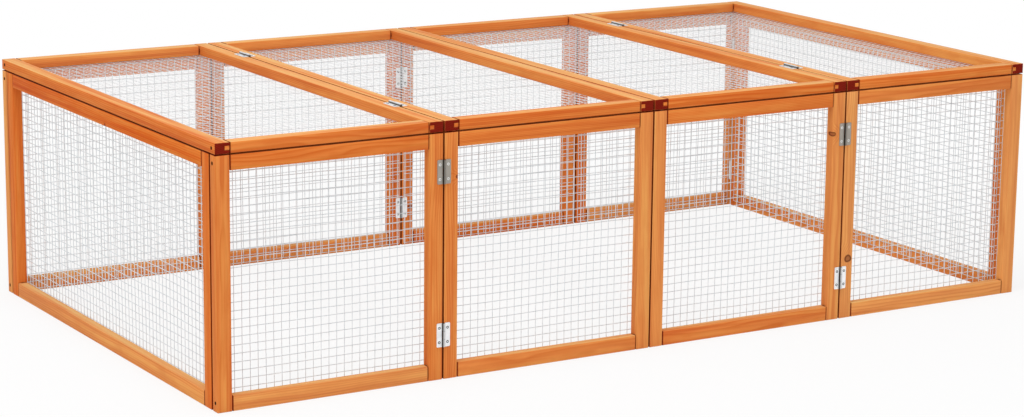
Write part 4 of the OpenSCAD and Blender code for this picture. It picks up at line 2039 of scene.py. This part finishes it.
    def build(self) -> None:
        """Makes every piece of the run."""
        fir = StainedFir().material()
        stiles, rails = (
            Finish(fir, f"stained_fir_{part}", Edge.PLANED, False) for part in ("stiles", "rails")
        )
        wire, lid_wire = (
            Finish(look.material(), "galvanised_wire", Edge.DRAWN, True) for look in (WALL_NET, LID_NET)
        )
        leaf, lid_leaf = (
            Finish(look.material(), "zinc_plated_steel", Edge.PRESSED, True) for look in (WALL_LEAF, LID_LEAF)
        )
        screws, brads = (
            Finish(look.material(), "zinc_plated_steel", Edge.DRAWN, True) for look in (SCREW, SunkBrad())
        )
        for netted in self.frames():
            roof = netted.stance is Stance.ROOF
            inset = self.lid_inset if roof else self.wall_inset
            netted.build_stiles(stiles)
            netted.build_rails(rails)
            netted.build_net(lid_wire if roof else wire, wire, self.hinge, inset)
            netted.build_brads(brads)
        self.wall_hinges().build(leaf, screws)
        self.lid_hinges().build(lid_leaf, screws)


# ---------------------------------------------------------------- studio


@dataclass(frozen=True)
class Studio:
    """The white studio: camera, floor, world and lamp.

    Args:
        camera_at: where the camera stands.
        camera_turn: how it is turned, as XYZ angles in radians.
        focal_length: its lens, in millimetres.
        sensor: its sensor's width, in millimetres.
        sees: how far it sees.
        floor_half: half the floor's side.
        floor_level: how high the floor lies.
        world_light: how strongly the world lights the run.
        ceiling: how bright the ceiling above the white walls looks.
        ceiling_from: the upward part of a direction where the walls end and where the ceiling is full.
        lamp_at: where the lamp hangs.
        lamp_size: the side of its square.
        lamp_power: its power in watts.
    """

    camera_at: Vector3 = (-2.8815, -4.7459, 1.3955)
    camera_turn: Vector3 = (1.3544, -0.0104, -0.5424)
    focal_length: float = 97.7
    sensor: float = 36.0
    sees: float = 60.0
    floor_half: float = 14.0
    floor_level: float = -0.2 * MM
    world_light: float = 0.70
    ceiling: float = 0.22
    ceiling_from: tuple[float, float] = (0.22, 0.60)
    lamp_at: Vector3 = (-1.7, -1.5, 5.24)
    lamp_size: float = 3.2
    lamp_power: float = 164.0

    def build(self) -> None:
        """Makes the camera, the floor, the world and the lamp."""
        self.build_camera()
        self.build_floor()
        self.build_world()
        self.build_lamp()
        bpy.context.scene.view_settings.view_transform = "Standard"

    def build_camera(self) -> None:
        """A long lens from the left of the front, a little above the roof."""
        data = bpy.data.cameras.new("camera")
        data.lens, data.sensor_width, data.sensor_fit = self.focal_length, self.sensor, "HORIZONTAL"
        data.clip_end = self.sees
        camera = bpy.data.objects.new("camera", data)
        camera.location, camera.rotation_euler = self.camera_at, self.camera_turn
        bpy.context.scene.collection.objects.link(camera)
        bpy.context.scene.camera = camera

    def build_floor(self) -> None:
        """A flat square just under the boards."""
        half, level = self.floor_half, self.floor_level
        mesh = bpy.data.meshes.new("floor")
        corners = [(x * half, y * half, level) for x, y in ((-1, -1), (1, -1), (1, 1), (-1, 1))]
        mesh.from_pydata(corners, [], [(0, 1, 2, 3)])
        mesh.materials.append(PaleFloor().material())
        floor = bpy.data.objects.new("floor", mesh)
        bpy.context.scene.collection.objects.link(floor)

    def build_world(self) -> None:
        """A plain grey-white light; to the camera, in gloss and through glass, white under a dim ceiling."""
        world = bpy.data.worlds.new("studio")
        bpy.context.scene.world = world
        world.use_nodes = True
        tree = world.node_tree
        tree.nodes.clear()
        direction = add_node(tree, "SeparateXYZ", {0: add_node(tree, "TexCoord").outputs["Generated"]})
        low, high = self.ceiling_from
        span = {1: low, 2: high, 3: 1.0, 4: self.ceiling}
        ceiling = add_node(tree, "MapRange", {"Value": direction.outputs["Z"]}, span)
        lit = add_node(tree, "Background", values={"Color": WHITE, "Strength": self.world_light})
        seen = add_node(tree, "Background", {"Strength": ceiling.outputs["Result"]}, {"Color": WHITE})
        mix = add_node(tree, "MixShader", {0: seen_directly(tree), 1: lit.outputs[0], 2: seen.outputs[0]})
        add_node(tree, "OutputWorld", {"Surface": mix.outputs[0]})

    def build_lamp(self) -> None:
        """One large soft square lamp high over the front left, turned to the middle of the run."""
        data = bpy.data.lights.new("key", "AREA")
        data.energy, data.size = self.lamp_power, self.lamp_size
        lamp = bpy.data.objects.new("key", data)
        lamp.location = self.lamp_at
        middle = (CAD_BOX[0] + CAD_BOX[1]) / 2
        lamp.rotation_euler = (middle - lamp.location).to_track_quat("-Z", "Y").to_euler()
        bpy.context.scene.collection.objects.link(lamp)


def main() -> None:
    """Builds the studio and the run."""
    logging.basicConfig(level=logging.INFO, format="%(name)s: %(message)s")
    Studio().build()
    RabbitRun().build()


if __name__ == "__main__":
    main()
